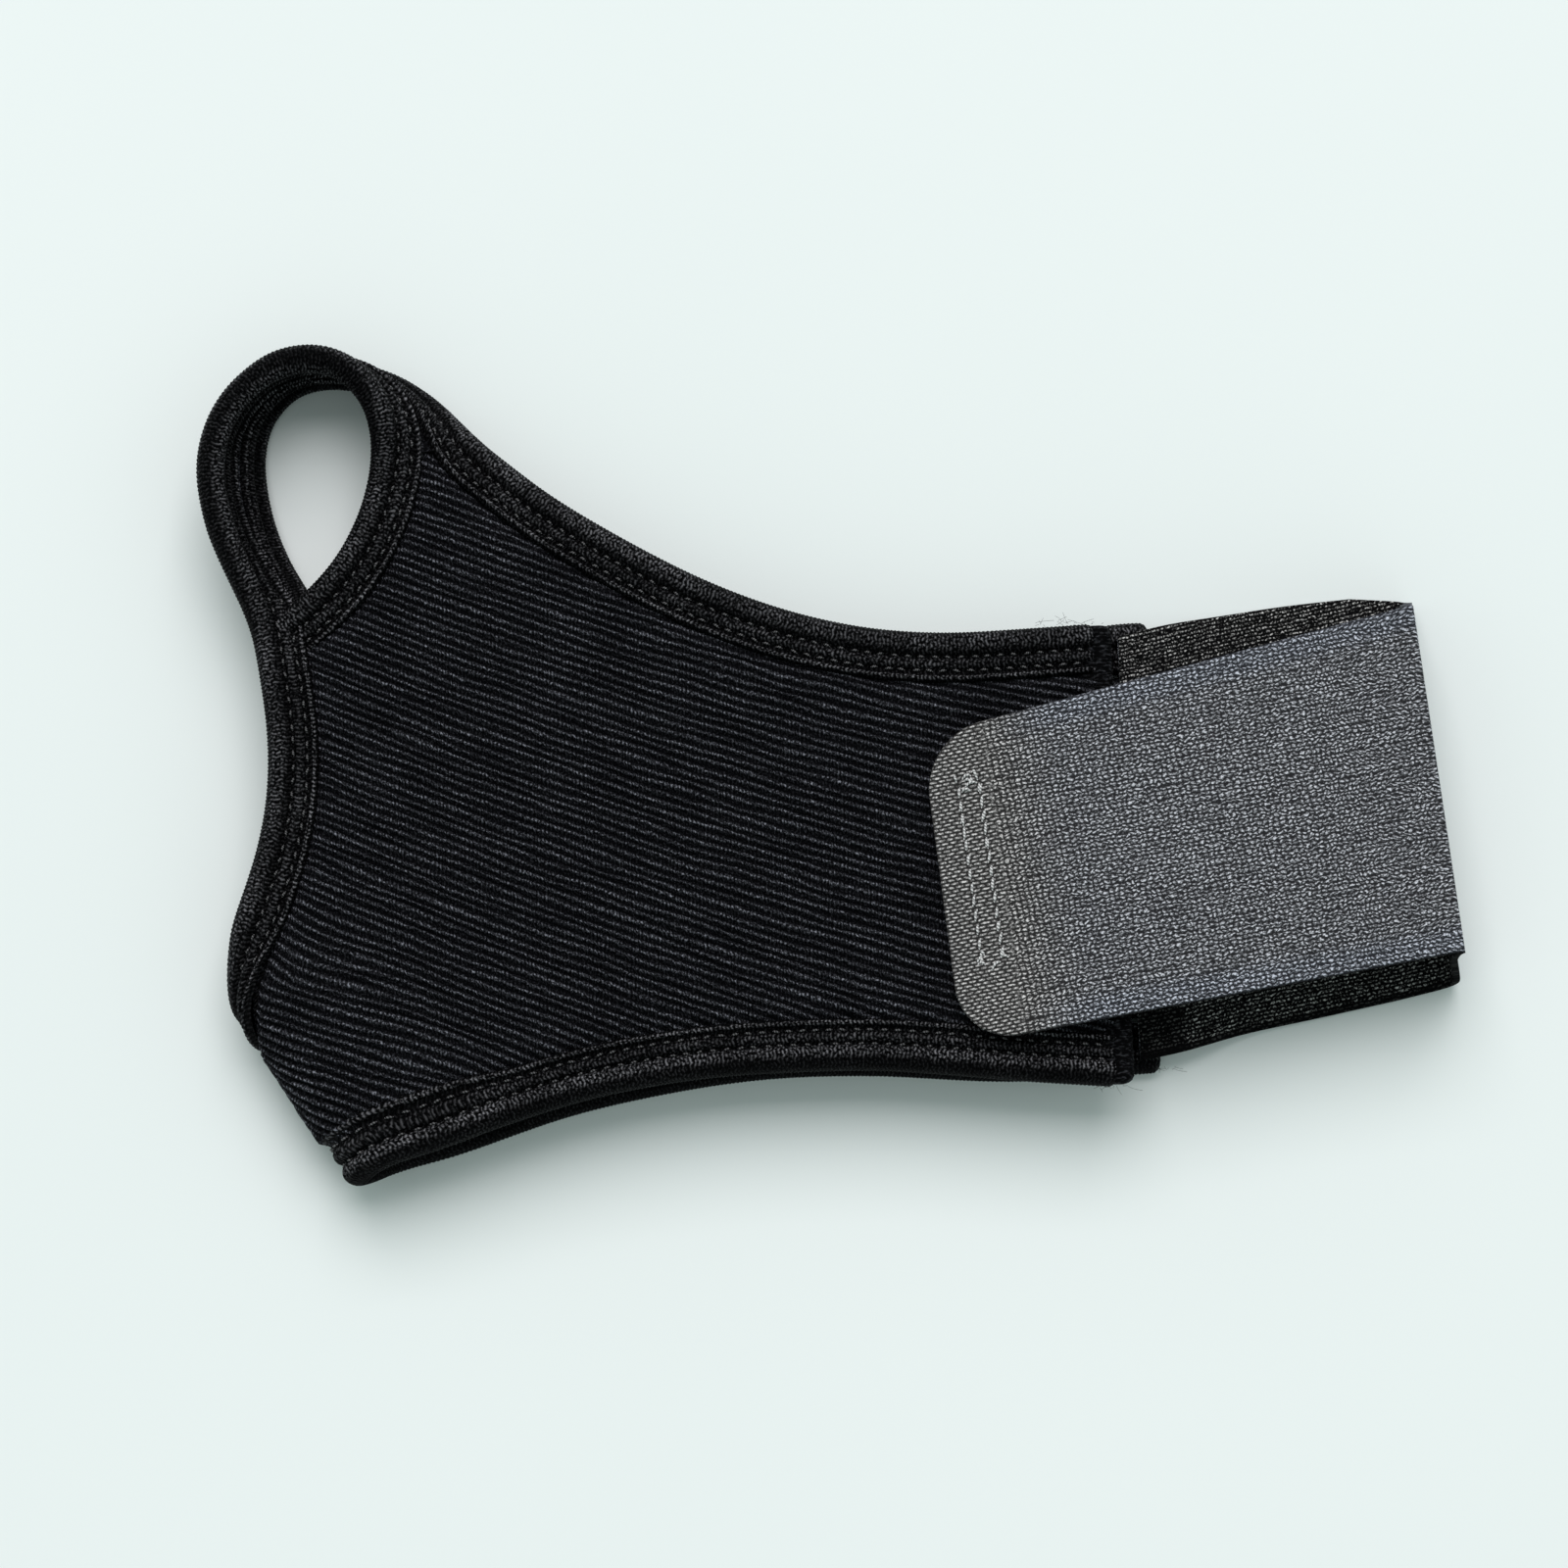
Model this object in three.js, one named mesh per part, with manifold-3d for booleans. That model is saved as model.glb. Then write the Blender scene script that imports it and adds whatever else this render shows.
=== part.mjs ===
// Elastic wrist wrap with a thumb loop and a hook-and-loop strap, lying folded on a flat surface.
// Millimetres, +Z up, the surface at z = 0. The hand end with the thumb loop is at -X, the strap at +X.
// The knit goes from the free end of the front panel to the fold at the lower left, round it and back
// under the front as the back band, which carries the strap. The strap turns over and closes on the front.

import * as THREE from "three";
import { mergeVertices } from "three/addons/utils/BufferGeometryUtils.js";
import Module from "manifold-3d";

const wasm = await Module();
wasm.setup();

// Shift that puts the middle of the whole wrap over the origin
const SHIFT_X = 0.4;

// Heights to the middle of the walls
const FRONT_HEIGHT = 13;
const BACK_HEIGHT = 2.1;
const FOLD_RADIUS = (FRONT_HEIGHT - BACK_HEIGHT) / 2;

// Knit wall: a thin core held in the tapes, with a thicker knit between them
const CORE_HALF = 0.65;
const KNIT_SINK = 0.3;
const FOLD_KNIT = 1.4;
const RIB_PITCH = 1.26;
const RIB_GROOVE = 1.0;
const RIB_CREST = 1.7;

// Ribs run down towards the strap: their slope at the hand end and how it eases with x
const RIB_START_X = -80;
const RIB_SLOPE = 0.42;
const RIB_BEND = 0.00065;

// Edge tape: a rolled binding folded over the edge of the wall
const TAPE_HALF = 2.1;
const TAPE_REACH = 7.2;
const HEM_HALF = 1.9;
const HEM_REACH = 1.5;
const GAP = 0.3;
const TAPE_SLOT = 1.15;
const PAD_MARGIN = 1.5;

// Outside of the tape's roll, its lips and the end of its slot, as shares of its half thickness
const ROLL_OUTLINE = [
  { inward: 0.3, out: 1 },
  { inward: -0.68, out: 0.73 },
  { inward: -1, out: 0 },
  { inward: -0.68, out: -0.73 },
  { inward: 0.3, out: -1 },
];
const LIP_SHARE = 0.95;
const SLOT_END_SHARE = -0.43;

// Strap and the hook patch under its tip
const STRAP_HALF = 0.65;
const PATCH_THICK = 1.2;
const PATCH_MARGIN = 5;
const PATCH_STEPS_FROM_TIP = { far: 6, near: 2 };
const FLAP_HEIGHT = FRONT_HEIGHT + RIB_CREST + 2 * GAP + PATCH_THICK + GAP + STRAP_HALF;
const STRAP_FOLD_RADIUS = (FLAP_HEIGHT - STRAP_HALF) / 2;
const TIP_RADIUS = 9;

// Swell of the front panel and the droop of its shoulder into the thumb loop
const SWELL = { rise: 1.4, x: -35, y: -8, spreadX: 38, spreadY: 30 };
const DROOP = { depth: 3.5, fromY: 28, overY: 20.3, fromX: -69, overX: 13.5 };

// Edges of the front panel in plan, at the middle of the tape's roll
const TOP_EDGE = [
  { x: 39.3, y: 18.2 },
  { x: 29, y: 17.4 },
  { x: 17, y: 16.8 },
  { x: 4.8, y: 17.7 },
  { x: -7.5, y: 20.5 },
  { x: -19.7, y: 25.1 },
  { x: -31.9, y: 31.4 },
  { x: -44.1, y: 39 },
  { x: -55.5, y: 48.3 },
];
const HOLE_EDGE = [
  { x: -68, y: 46.5 },
  { x: -68.5, y: 42.5 },
  { x: -69.6, y: 37.8 },
  { x: -71.6, y: 33 },
  { x: -74.4, y: 28.2 },
  { x: -78, y: 24.2 },
];
const HAND_EDGE = [
  { x: -86, y: 20.2 },
  { x: -84.6, y: 13 },
  { x: -83.2, y: 4 },
  { x: -83, y: -6 },
  { x: -84.2, y: -16 },
  { x: -85.8, y: -23.5 },
  { x: -85.6, y: -28.3 },
];
const BOTTOM_EDGE = [
  { x: 42, y: -48.3 },
  { x: 28.7, y: -47.5 },
  { x: 16.9, y: -46.5 },
  { x: 5.1, y: -45.9 },
  { x: -12.8, y: -46.6 },
  { x: -24.7, y: -48 },
  { x: -36.6, y: -50.4 },
  { x: -48.5, y: -54.1 },
  { x: -58, y: -57.4 },
  { x: -64.5, y: -59 },
];
const FRONT_END = { upper: { x: 41.4, y: 18.3 }, lower: { x: 44.3, y: -48.3 } };

// Edges of the back band in plan, from the fold to its end under the strap
const BACK_UPPER_EDGE = [
  { x: -85.6, y: -28.3 },
  { x: -72, y: -27.4 },
  { x: -50, y: -22.5 },
  { x: -25, y: -12.5 },
  { x: 0, y: 1 },
  { x: 25, y: 12.5 },
  { x: 47.5, y: 19 },
];
const BACK_LOWER_EDGE = [
  { x: -64.5, y: -59 },
  { x: -55.2, y: -57 },
  { x: -37.2, y: -51 },
  { x: -14.7, y: -46.6 },
  { x: 5, y: -45.5 },
  { x: 28, y: -46.4 },
  { x: 50.5, y: -45 },
];

// Thumb loop: a strip on edge, from the shoulder round to the hand edge, by its near and far rims
const LOOP_SECTIONS = [
  { nearX: -68, nearY: 46.5, nearZ: 13, farX: -55.5, farY: 48.3, farZ: 9.6 },
  { nearX: -68.6, nearY: 52.5, nearZ: 13.9, farX: -62, farY: 55.4, farZ: 4.8 },
  { nearX: -71.8, nearY: 58.2, nearZ: 14.6, farX: -68.5, farY: 60.2, farZ: 2.6 },
  { nearX: -77.3, nearY: 61.4, nearZ: 15, farX: -75, farY: 62, farZ: 2.1 },
  { nearX: -84, nearY: 60.8, nearZ: 15, farX: -81.3, farY: 61.7, farZ: 2.1 },
  { nearX: -90, nearY: 56.5, nearZ: 15, farX: -86.6, farY: 58.2, farZ: 2.1 },
  { nearX: -93.9, nearY: 49.5, nearZ: 15, farX: -89.6, farY: 52, farZ: 2.1 },
  { nearX: -94.4, nearY: 41.5, nearZ: 14.8, farX: -89.4, farY: 43.5, farZ: 2.1 },
  { nearX: -92, nearY: 33, nearZ: 14.2, farX: -87.4, farY: 36, farZ: 2.8 },
  { nearX: -88.9, nearY: 26.5, nearZ: 13.5, farX: -84.6, farY: 30, farZ: 4.2 },
  { nearX: -86.4, nearY: 21, nearZ: 13, farX: -81.8, farY: 25.6, farZ: 5.2 },
];

// Strap, by its far and near edges and its height: the run on the surface, then the flap over the front
const STRAP_RUN = [
  { farX: 44.4, farY: 19.8, nearX: 47.2, nearY: -45.6, z: 5.2 },
  { farX: 52, farY: 21.8, nearX: 54.5, nearY: -44, z: 4.9 },
  { farX: 61, farY: 23.4, nearX: 64, nearY: -41.2, z: 1.6 },
  { farX: 71, farY: 24.8, nearX: 75, nearY: -38.4, z: STRAP_HALF },
  { farX: 80.6, farY: 25.4, nearX: 86.6, nearY: -35.6, z: STRAP_HALF },
];
const STRAP_FLAP = [
  { farX: 80.6, farY: 20, nearX: 86.6, nearY: -32.2, z: FLAP_HEIGHT },
  { farX: 64, farY: 14.6, nearX: 70, nearY: -35.2, z: FLAP_HEIGHT },
  { farX: 46, farY: 9.8, nearX: 52, nearY: -38.6, z: FLAP_HEIGHT },
  { farX: 28, farY: 5.4, nearX: 34, nearY: -42.1, z: FLAP_HEIGHT },
  { farX: 14, farY: 1.9, nearX: 20, nearY: -44.8, z: FLAP_HEIGHT },
];

// Steps along each stretch of the walls and tapes
const TOP_STEPS = 20;
const SHOULDER_STEPS = 3;
const HOLE_STEPS = 6;
const HAND_STEPS = 8;
const FOLD_STEPS = 8;
const FOLD_TRIM_STEPS = 2;
const BACK_STEPS = 16;
const LOOP_STEPS = 24;
const HEM_STEPS = 4;
const LOOP_LINES = 3;
const PAD_LINES = 4;
const RIB_COLUMNS = 10;
const STRAP_RUN_STEPS = 8;
const STRAP_FOLD_STEPS = 8;
const STRAP_FLAP_STEPS = 14;
const STRAP_LINES = 3;
const TIP_STEPS = 5;

// Places of the wall's lines, as shares of each section from its lower to its upper edge
const WALL_SHARES = [0, 0.1, 0.5, 0.82, 0.91, 1];

// Part of the bottom edge that each stretch of the upper outline is joined to
const TOP_SHARE = 0.6;
const SHOULDER_SHARE = 0.66;
const HOLE_SHARE = 0.76;
const HAND_SHARE = 0.784;
const HAND_EDGE_SKIP = 0.06;

// Distance at which points count as one
const SAME_POINT = 1e-4;

// Curves through table rows
function curveThrough(points) {
  return new THREE.CatmullRomCurve3(points, false, "catmullrom", 0.5);
}

function planCurve(rows) {
  return curveThrough(rows.map((row) => new THREE.Vector3(row.x, row.y, 0)));
}

function columnCurve(rows, x, y, z) {
  return curveThrough(rows.map((row) => new THREE.Vector3(row[x], row[y], row[z])));
}

function clamp01(value) {
  return Math.min(1, Math.max(0, value));
}

function frontHeight(x, y) {
  const acrossX = (x - SWELL.x) / SWELL.spreadX;
  const acrossY = (y - SWELL.y) / SWELL.spreadY;
  const swell = SWELL.rise * Math.exp(-acrossX * acrossX - acrossY * acrossY);
  const droopY = Math.max(0, y - DROOP.fromY) / DROOP.overY;
  const droop = DROOP.depth * droopY * droopY * clamp01((x - DROOP.fromX) / DROOP.overX);
  return FRONT_HEIGHT + swell - droop;
}

function onFront(point) {
  return new THREE.Vector3(point.x, point.y, frontHeight(point.x, point.y));
}

// Wall sections: each gives the middle of the wall from its lower edge (0) to its upper edge (1)
function frontSection(lower, upper) {
  return (across) => onFront(new THREE.Vector3().lerpVectors(lower, upper, across));
}

function foldSection(lower, upper, turn) {
  const outward = new THREE.Vector3(lower.y - upper.y, upper.x - lower.x, 0).normalize();
  return (across) => {
    const point = new THREE.Vector3().lerpVectors(lower, upper, across);
    point.addScaledVector(outward, FOLD_RADIUS * Math.sin(turn));
    point.z = BACK_HEIGHT + FOLD_RADIUS * (1 + Math.cos(turn));
    return point;
  };
}

function backSection(lower, upper) {
  return (across) => {
    const point = new THREE.Vector3().lerpVectors(lower, upper, across);
    point.z = BACK_HEIGHT;
    return point;
  };
}

// Stations of the front panel: its free end, then round its upper outline to the fold
function frontStations() {
  const bottom = planCurve(BOTTOM_EDGE);
  const stations = [{ lower: FRONT_END.lower, upper: FRONT_END.upper }];
  const add = (upper, share) => stations.push({ lower: bottom.getPointAt(share), upper });
  const top = planCurve(TOP_EDGE);
  for (let i = 0; i <= TOP_STEPS; i += 1) {
    add(top.getPointAt(i / TOP_STEPS), (TOP_SHARE * i) / TOP_STEPS);
  }
  const hole = planCurve(HOLE_EDGE);
  const shoulderFar = top.getPointAt(1);
  const shoulderNear = hole.getPointAt(0);
  for (let i = 1; i < SHOULDER_STEPS; i += 1) {
    const step = i / SHOULDER_STEPS;
    const upper = new THREE.Vector3().lerpVectors(shoulderFar, shoulderNear, step);
    add(upper, TOP_SHARE + (SHOULDER_SHARE - TOP_SHARE) * step);
  }
  for (let i = 0; i <= HOLE_STEPS; i += 1) {
    const step = i / HOLE_STEPS;
    add(hole.getPointAt(step), SHOULDER_SHARE + (HOLE_SHARE - SHOULDER_SHARE) * step);
  }
  const hand = planCurve(HAND_EDGE);
  for (let i = 0; i <= HAND_STEPS; i += 1) {
    const step = i / HAND_STEPS;
    const upper = hand.getPointAt(HAND_EDGE_SKIP + (1 - HAND_EDGE_SKIP) * step);
    add(upper, HAND_SHARE + (1 - HAND_SHARE) * step);
  }
  return stations.map(({ lower, upper }) => frontSection(lower, upper));
}

function foldStations() {
  const lower = planCurve(BOTTOM_EDGE).getPointAt(1);
  const upper = planCurve(HAND_EDGE).getPointAt(1);
  const stations = [];
  for (let i = 1; i < FOLD_STEPS; i += 1) {
    stations.push(foldSection(lower, upper, (Math.PI * i) / FOLD_STEPS));
  }
  return stations;
}

function backStations() {
  const lower = planCurve(BACK_LOWER_EDGE).getSpacedPoints(BACK_STEPS);
  const upper = planCurve(BACK_UPPER_EDGE).getSpacedPoints(BACK_STEPS);
  return lower.map((point, i) => backSection(point, upper[i]));
}

// Grids of points and closed solids made from them
function wallGrid(sections) {
  return sections.map((section) => WALL_SHARES.map((share) => section(share)));
}

function lineBetween(from, to, lines) {
  const points = [];
  for (let j = 0; j <= lines; j += 1) {
    points.push(new THREE.Vector3().lerpVectors(from, to, j / lines));
  }
  return points;
}

function gridNormal(grid, i, j) {
  const last = grid.length - 1;
  const edge = grid[i].length - 1;
  const along = new THREE.Vector3();
  along.subVectors(grid[Math.min(i + 1, last)][j], grid[Math.max(i - 1, 0)][j]);
  const across = new THREE.Vector3();
  across.subVectors(grid[i][Math.min(j + 1, edge)], grid[i][Math.max(j - 1, 0)]);
  return across.cross(along).normalize();
}

function offsetGrid(grid, amount) {
  return grid.map((row, i) =>
    row.map((point, j) => point.clone().addScaledVector(gridNormal(grid, i, j), amount(i, j))),
  );
}

function slab(outer, inner) {
  const rows = outer.length;
  const columns = outer[0].length;
  const points = [...outer.flat(), ...inner.flat()];
  const index = [];
  const outerAt = (i, j) => i * columns + j;
  const innerAt = (i, j) => (rows + i) * columns + j;
  const quad = (a, b, c, d) => index.push(a, b, c, a, c, d);
  const side = columns - 1;
  const end = rows - 1;
  for (let i = 0; i < end; i += 1) {
    for (let j = 0; j < side; j += 1) {
      quad(outerAt(i, j), outerAt(i, j + 1), outerAt(i + 1, j + 1), outerAt(i + 1, j));
      quad(innerAt(i, j), innerAt(i + 1, j), innerAt(i + 1, j + 1), innerAt(i, j + 1));
    }
    quad(outerAt(i, 0), outerAt(i + 1, 0), innerAt(i + 1, 0), innerAt(i, 0));
    quad(outerAt(i + 1, side), outerAt(i, side), innerAt(i, side), innerAt(i + 1, side));
  }
  for (let j = 0; j < side; j += 1) {
    quad(outerAt(0, j + 1), outerAt(0, j), innerAt(0, j), innerAt(0, j + 1));
    quad(outerAt(end, j), outerAt(end, j + 1), innerAt(end, j + 1), innerAt(end, j));
  }
  const geometry = new THREE.BufferGeometry().setFromPoints(points);
  geometry.setIndex(index);
  return geometry;
}

function evenSheet(grid, half) {
  return slab(offsetGrid(grid, () => half), offsetGrid(grid, () => -half));
}

// Joins and cuts
function toSolid(geometry) {
  const bare = new THREE.BufferGeometry();
  bare.setAttribute("position", geometry.getAttribute("position"));
  bare.setIndex(geometry.getIndex());
  const merged = mergeVertices(bare, SAME_POINT);
  const vertProperties = new Float32Array(merged.getAttribute("position").array);
  const triVerts = new Uint32Array(merged.getIndex().array);
  return new wasm.Manifold(new wasm.Mesh({ numProp: 3, vertProperties, triVerts }));
}

function toGeometry(solid) {
  const mesh = solid.getMesh();
  const geometry = new THREE.BufferGeometry();
  geometry.setAttribute("position", new THREE.BufferAttribute(mesh.vertProperties, mesh.numProp));
  geometry.setIndex(new THREE.BufferAttribute(mesh.triVerts, 1));
  return geometry;
}

// Tape stations along an edge: the middle of the roll, the way into the wall, and the wall's normal
function tapeStations(points, inwardAt, reachAt) {
  return points.map((center, i) => {
    const before = points[Math.max(i - 1, 0)];
    const after = points[Math.min(i + 1, points.length - 1)];
    const tangent = new THREE.Vector3().subVectors(after, before).normalize();
    const inward = inwardAt(center, tangent, i).normalize();
    const normal = new THREE.Vector3().crossVectors(tangent, inward).normalize();
    return { center, inward, normal, reach: reachAt(center, i) };
  });
}

function frontInward(side) {
  return (center, tangent) => {
    const across = new THREE.Vector3(-tangent.y, tangent.x, 0).normalize();
    const inner = center.clone().addScaledVector(across, side * TAPE_REACH);
    return onFront(inner).sub(center);
  };
}

function tapeProfile(half, reach) {
  const lip = LIP_SHARE * half;
  const slotEnd = SLOT_END_SHARE * half;
  return [
    new THREE.Vector2(reach, lip),
    ...ROLL_OUTLINE.map((row) => new THREE.Vector2(row.inward * half, row.out * half)),
    new THREE.Vector2(reach, -lip),
    new THREE.Vector2(reach, -TAPE_SLOT),
    new THREE.Vector2(slotEnd, -TAPE_SLOT),
    new THREE.Vector2(slotEnd, TAPE_SLOT),
    new THREE.Vector2(reach, TAPE_SLOT),
  ];
}

function tapeGeometry(stations, half) {
  const profiles = stations.map((station) => tapeProfile(half, station.reach));
  const sides = profiles[0].length;
  const points = stations.flatMap((station, i) =>
    profiles[i].map((at) => {
      const point = station.center.clone().addScaledVector(station.inward, at.x);
      return point.addScaledVector(station.normal, at.y);
    }),
  );
  const index = [];
  for (let i = 0; i + 1 < stations.length; i += 1) {
    for (let j = 0; j < sides; j += 1) {
      const next = (j + 1) % sides;
      const a = i * sides + j;
      const b = i * sides + next;
      index.push(a, b, b + sides, a, b + sides, a + sides);
    }
  }
  const lastRow = (stations.length - 1) * sides;
  for (const [a, b, c] of THREE.ShapeUtils.triangulateShape(profiles[0], [])) {
    index.push(c, b, a, lastRow + a, lastRow + b, lastRow + c);
  }
  const geometry = new THREE.BufferGeometry().setFromPoints(points);
  geometry.setIndex(index);
  return geometry;
}

// Upright prism over the strip of wall that a tape covers, a little longer than the tape,
// for trimming the ribbed knit beside it
function tapeFootprint(tape) {
  const longer = (end, next) => {
    const away = new THREE.Vector3().subVectors(end.center, next.center).setLength(TAPE_HALF);
    return { ...end, center: end.center.clone().add(away) };
  };
  const stations = [longer(tape[0], tape[1]), ...tape, longer(tape.at(-1), tape.at(-2))];
  const planPoint = ({ center, inward }, distance) => {
    const point = center.clone().addScaledVector(inward, distance);
    return new THREE.Vector2(point.x, point.y);
  };
  const outer = stations.map((station) => planPoint(station, -2 * TAPE_HALF));
  const inner = stations.map((station) => planPoint(station, station.reach + 2 * GAP));
  const outline = new THREE.Shape([...outer, ...inner.reverse()]);
  return toSolid(new THREE.ExtrudeGeometry(outline, { depth: 2 * FRONT_HEIGHT, bevelEnabled: false }));
}

// Tapes keep clear of each other where the strip between two edges is narrow
function sharedReach(otherEdge) {
  return (center) => {
    const width = Math.min(...otherEdge.map((point) => point.distanceTo(center)));
    return Math.min(TAPE_REACH, width / 2 - 2 * GAP);
  };
}

const loopNear = columnCurve(LOOP_SECTIONS, "nearX", "nearY", "nearZ").getSpacedPoints(LOOP_STEPS);
const loopFar = columnCurve(LOOP_SECTIONS, "farX", "farY", "farZ").getSpacedPoints(LOOP_STEPS);
const holeEdge = planCurve(HOLE_EDGE).getSpacedPoints(HOLE_STEPS).map(onFront);
const topEdge = planCurve(TOP_EDGE).getSpacedPoints(TOP_STEPS).map(onFront);
const handEdge = planCurve(HAND_EDGE).getSpacedPoints(HAND_STEPS).map(onFront);
const bottomEdge = planCurve(BOTTOM_EDGE).getSpacedPoints(TOP_STEPS).map(onFront);

// Tape round the thumb hole: up the panel's side of the hole, then along the loop's near rim
function holeTapeStations() {
  const onPanel = [...holeEdge].reverse();
  const points = [...onPanel.slice(0, -1), ...loopNear];
  const panelInward = frontInward(-1);
  const inwardAt = (center, tangent, i) => {
    const step = i - onPanel.length + 1;
    return step < 0 ? panelInward(center, tangent) : loopFar[step].clone().sub(center);
  };
  return tapeStations(points, inwardAt, sharedReach([...topEdge, ...loopFar]));
}

// Tape along the top edge: from the free end to the shoulder, then along the loop's far rim
function topTapeStations() {
  const points = [...topEdge.slice(0, -1), ...loopFar];
  const panelInward = frontInward(1);
  const inwardAt = (center, tangent, i) => {
    const step = i - topEdge.length + 1;
    return step < 0 ? panelInward(center, tangent) : loopNear[step].clone().sub(center);
  };
  return tapeStations(points, inwardAt, sharedReach([...holeEdge, ...loopNear]));
}

function foldEdge(across) {
  return foldStations().map((section) => section(across));
}

// Tapes along the hand edge and the bottom edge: on the front, round the fold, then along the back band
function wrappedTapeStations(frontEdge, backRows, across, frontSide) {
  const backEdge = planCurve(backRows).getSpacedPoints(BACK_STEPS);
  for (const point of backEdge) {
    point.z = BACK_HEIGHT;
  }
  const fold = foldEdge(across);
  const points = [...frontEdge, ...fold, ...backEdge];
  const panelInward = frontInward(frontSide);
  const foldInward = new THREE.Vector3().subVectors(foldEdge(1 - across)[0], fold[0]);
  const inwardAt = (center, tangent, i) => {
    const foldStep = i - frontEdge.length;
    if (foldStep < 0) {
      return panelInward(center, tangent);
    }
    if (foldStep <= fold.length) {
      return foldInward.clone();
    }
    return new THREE.Vector3(-tangent.y, tangent.x, 0).multiplyScalar(-frontSide);
  };
  return tapeStations(points, inwardAt, () => TAPE_REACH);
}

function handTapeStations() {
  return wrappedTapeStations(handEdge, BACK_UPPER_EDGE, 1, 1);
}

function bottomTapeStations() {
  return wrappedTapeStations(bottomEdge, BACK_LOWER_EDGE, 0, -1);
}

function endHemStations() {
  const upper = new THREE.Vector3(FRONT_END.upper.x, FRONT_END.upper.y + HEM_HALF, 0);
  const lower = new THREE.Vector3(FRONT_END.lower.x, FRONT_END.lower.y - HEM_HALF, 0);
  const points = lineBetween(upper, lower, HEM_STEPS).map(onFront);
  return tapeStations(points, frontInward(-1), () => HEM_REACH);
}

// Knit of the front panel: ribs at their real pitch, trimmed to the wall between the tapes
function ribDrop(x) {
  const along = x - RIB_START_X;
  return RIB_SLOPE * along - RIB_BEND * along * along;
}

function ribbedKnit() {
  const linesPerRib = [RIB_GROOVE, RIB_CREST, RIB_CREST];
  const uprightPitch = RIB_PITCH * Math.hypot(1, RIB_SLOPE);
  const lowestRib = -56;
  const ribCount = 90;
  const fromX = -92;
  const toX = 46;
  const top = [];
  for (let i = 0; i <= RIB_COLUMNS; i += 1) {
    const x = fromX + ((toX - fromX) * i) / RIB_COLUMNS;
    const row = [];
    for (let j = 0; j <= ribCount * linesPerRib.length; j += 1) {
      const y = lowestRib + (uprightPitch * j) / linesPerRib.length - ribDrop(x);
      row.push(new THREE.Vector3(x, y, frontHeight(x, y) + linesPerRib[j % linesPerRib.length]));
    }
    top.unshift(row);
  }
  const floor = top.map((row) => row.map((point) => new THREE.Vector3(point.x, point.y, BACK_HEIGHT)));
  return toSolid(slab(top, floor));
}

function knitBody() {
  const front = frontStations();
  const fold = foldStations();
  const back = backStations();
  const core = toSolid(evenSheet(wallGrid([...front, ...fold, ...back]), CORE_HALF));
  const frontGrid = wallGrid(front);
  const raised = frontGrid.map((row) => row.map((point) => point.clone().setZ(2 * FRONT_HEIGHT)));
  const sunk = frontGrid.map((row) => row.map((point) => point.clone().setZ(point.z - KNIT_SINK)));
  let ribs = ribbedKnit().intersect(toSolid(slab(raised, sunk)));
  for (const stations of [
    holeTapeStations().slice(0, HOLE_STEPS + 2),
    topTapeStations().slice(0, TOP_STEPS + 2),
    handTapeStations().slice(0, HAND_STEPS + 1 + FOLD_TRIM_STEPS),
    bottomTapeStations().slice(0, TOP_STEPS + 1 + FOLD_TRIM_STEPS),
    endHemStations(),
  ]) {
    ribs = ribs.subtract(tapeFootprint(stations));
  }
  return toGeometry(core.add(ribs).add(backKnit(fold, back)));
}

// Share of a section that the tape on one of its edges covers
function tapeShare(sections, i, edge) {
  const before = sections[Math.max(i - 1, 0)](edge);
  const after = sections[Math.min(i + 1, sections.length - 1)](edge);
  const along = new THREE.Vector3().subVectors(after, before).normalize();
  const across = new THREE.Vector3().subVectors(sections[i](1), sections[i](0));
  return (TAPE_REACH + PAD_MARGIN) / across.cross(along).length();
}

// Knit of the fold and the back band between its tapes, flat where it lies on the surface
function backKnit(fold, back) {
  const sections = [...fold, ...back];
  const grid = sections.map((section, i) => {
    const from = section(tapeShare(sections, i, 0));
    const to = section(1 - tapeShare(sections, i, 1));
    return lineBetween(from, to, PAD_LINES);
  });
  const thickness = (i) => (i < fold.length ? FOLD_KNIT : BACK_HEIGHT);
  return toSolid(slab(offsetGrid(grid, thickness), offsetGrid(grid, () => -KNIT_SINK)));
}

function thumbLoop() {
  const near = loopNear.slice(1, -1);
  const far = loopFar.slice(1, -1);
  return evenSheet(near.map((point, i) => lineBetween(point, far[i], LOOP_LINES)), CORE_HALF);
}

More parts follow.
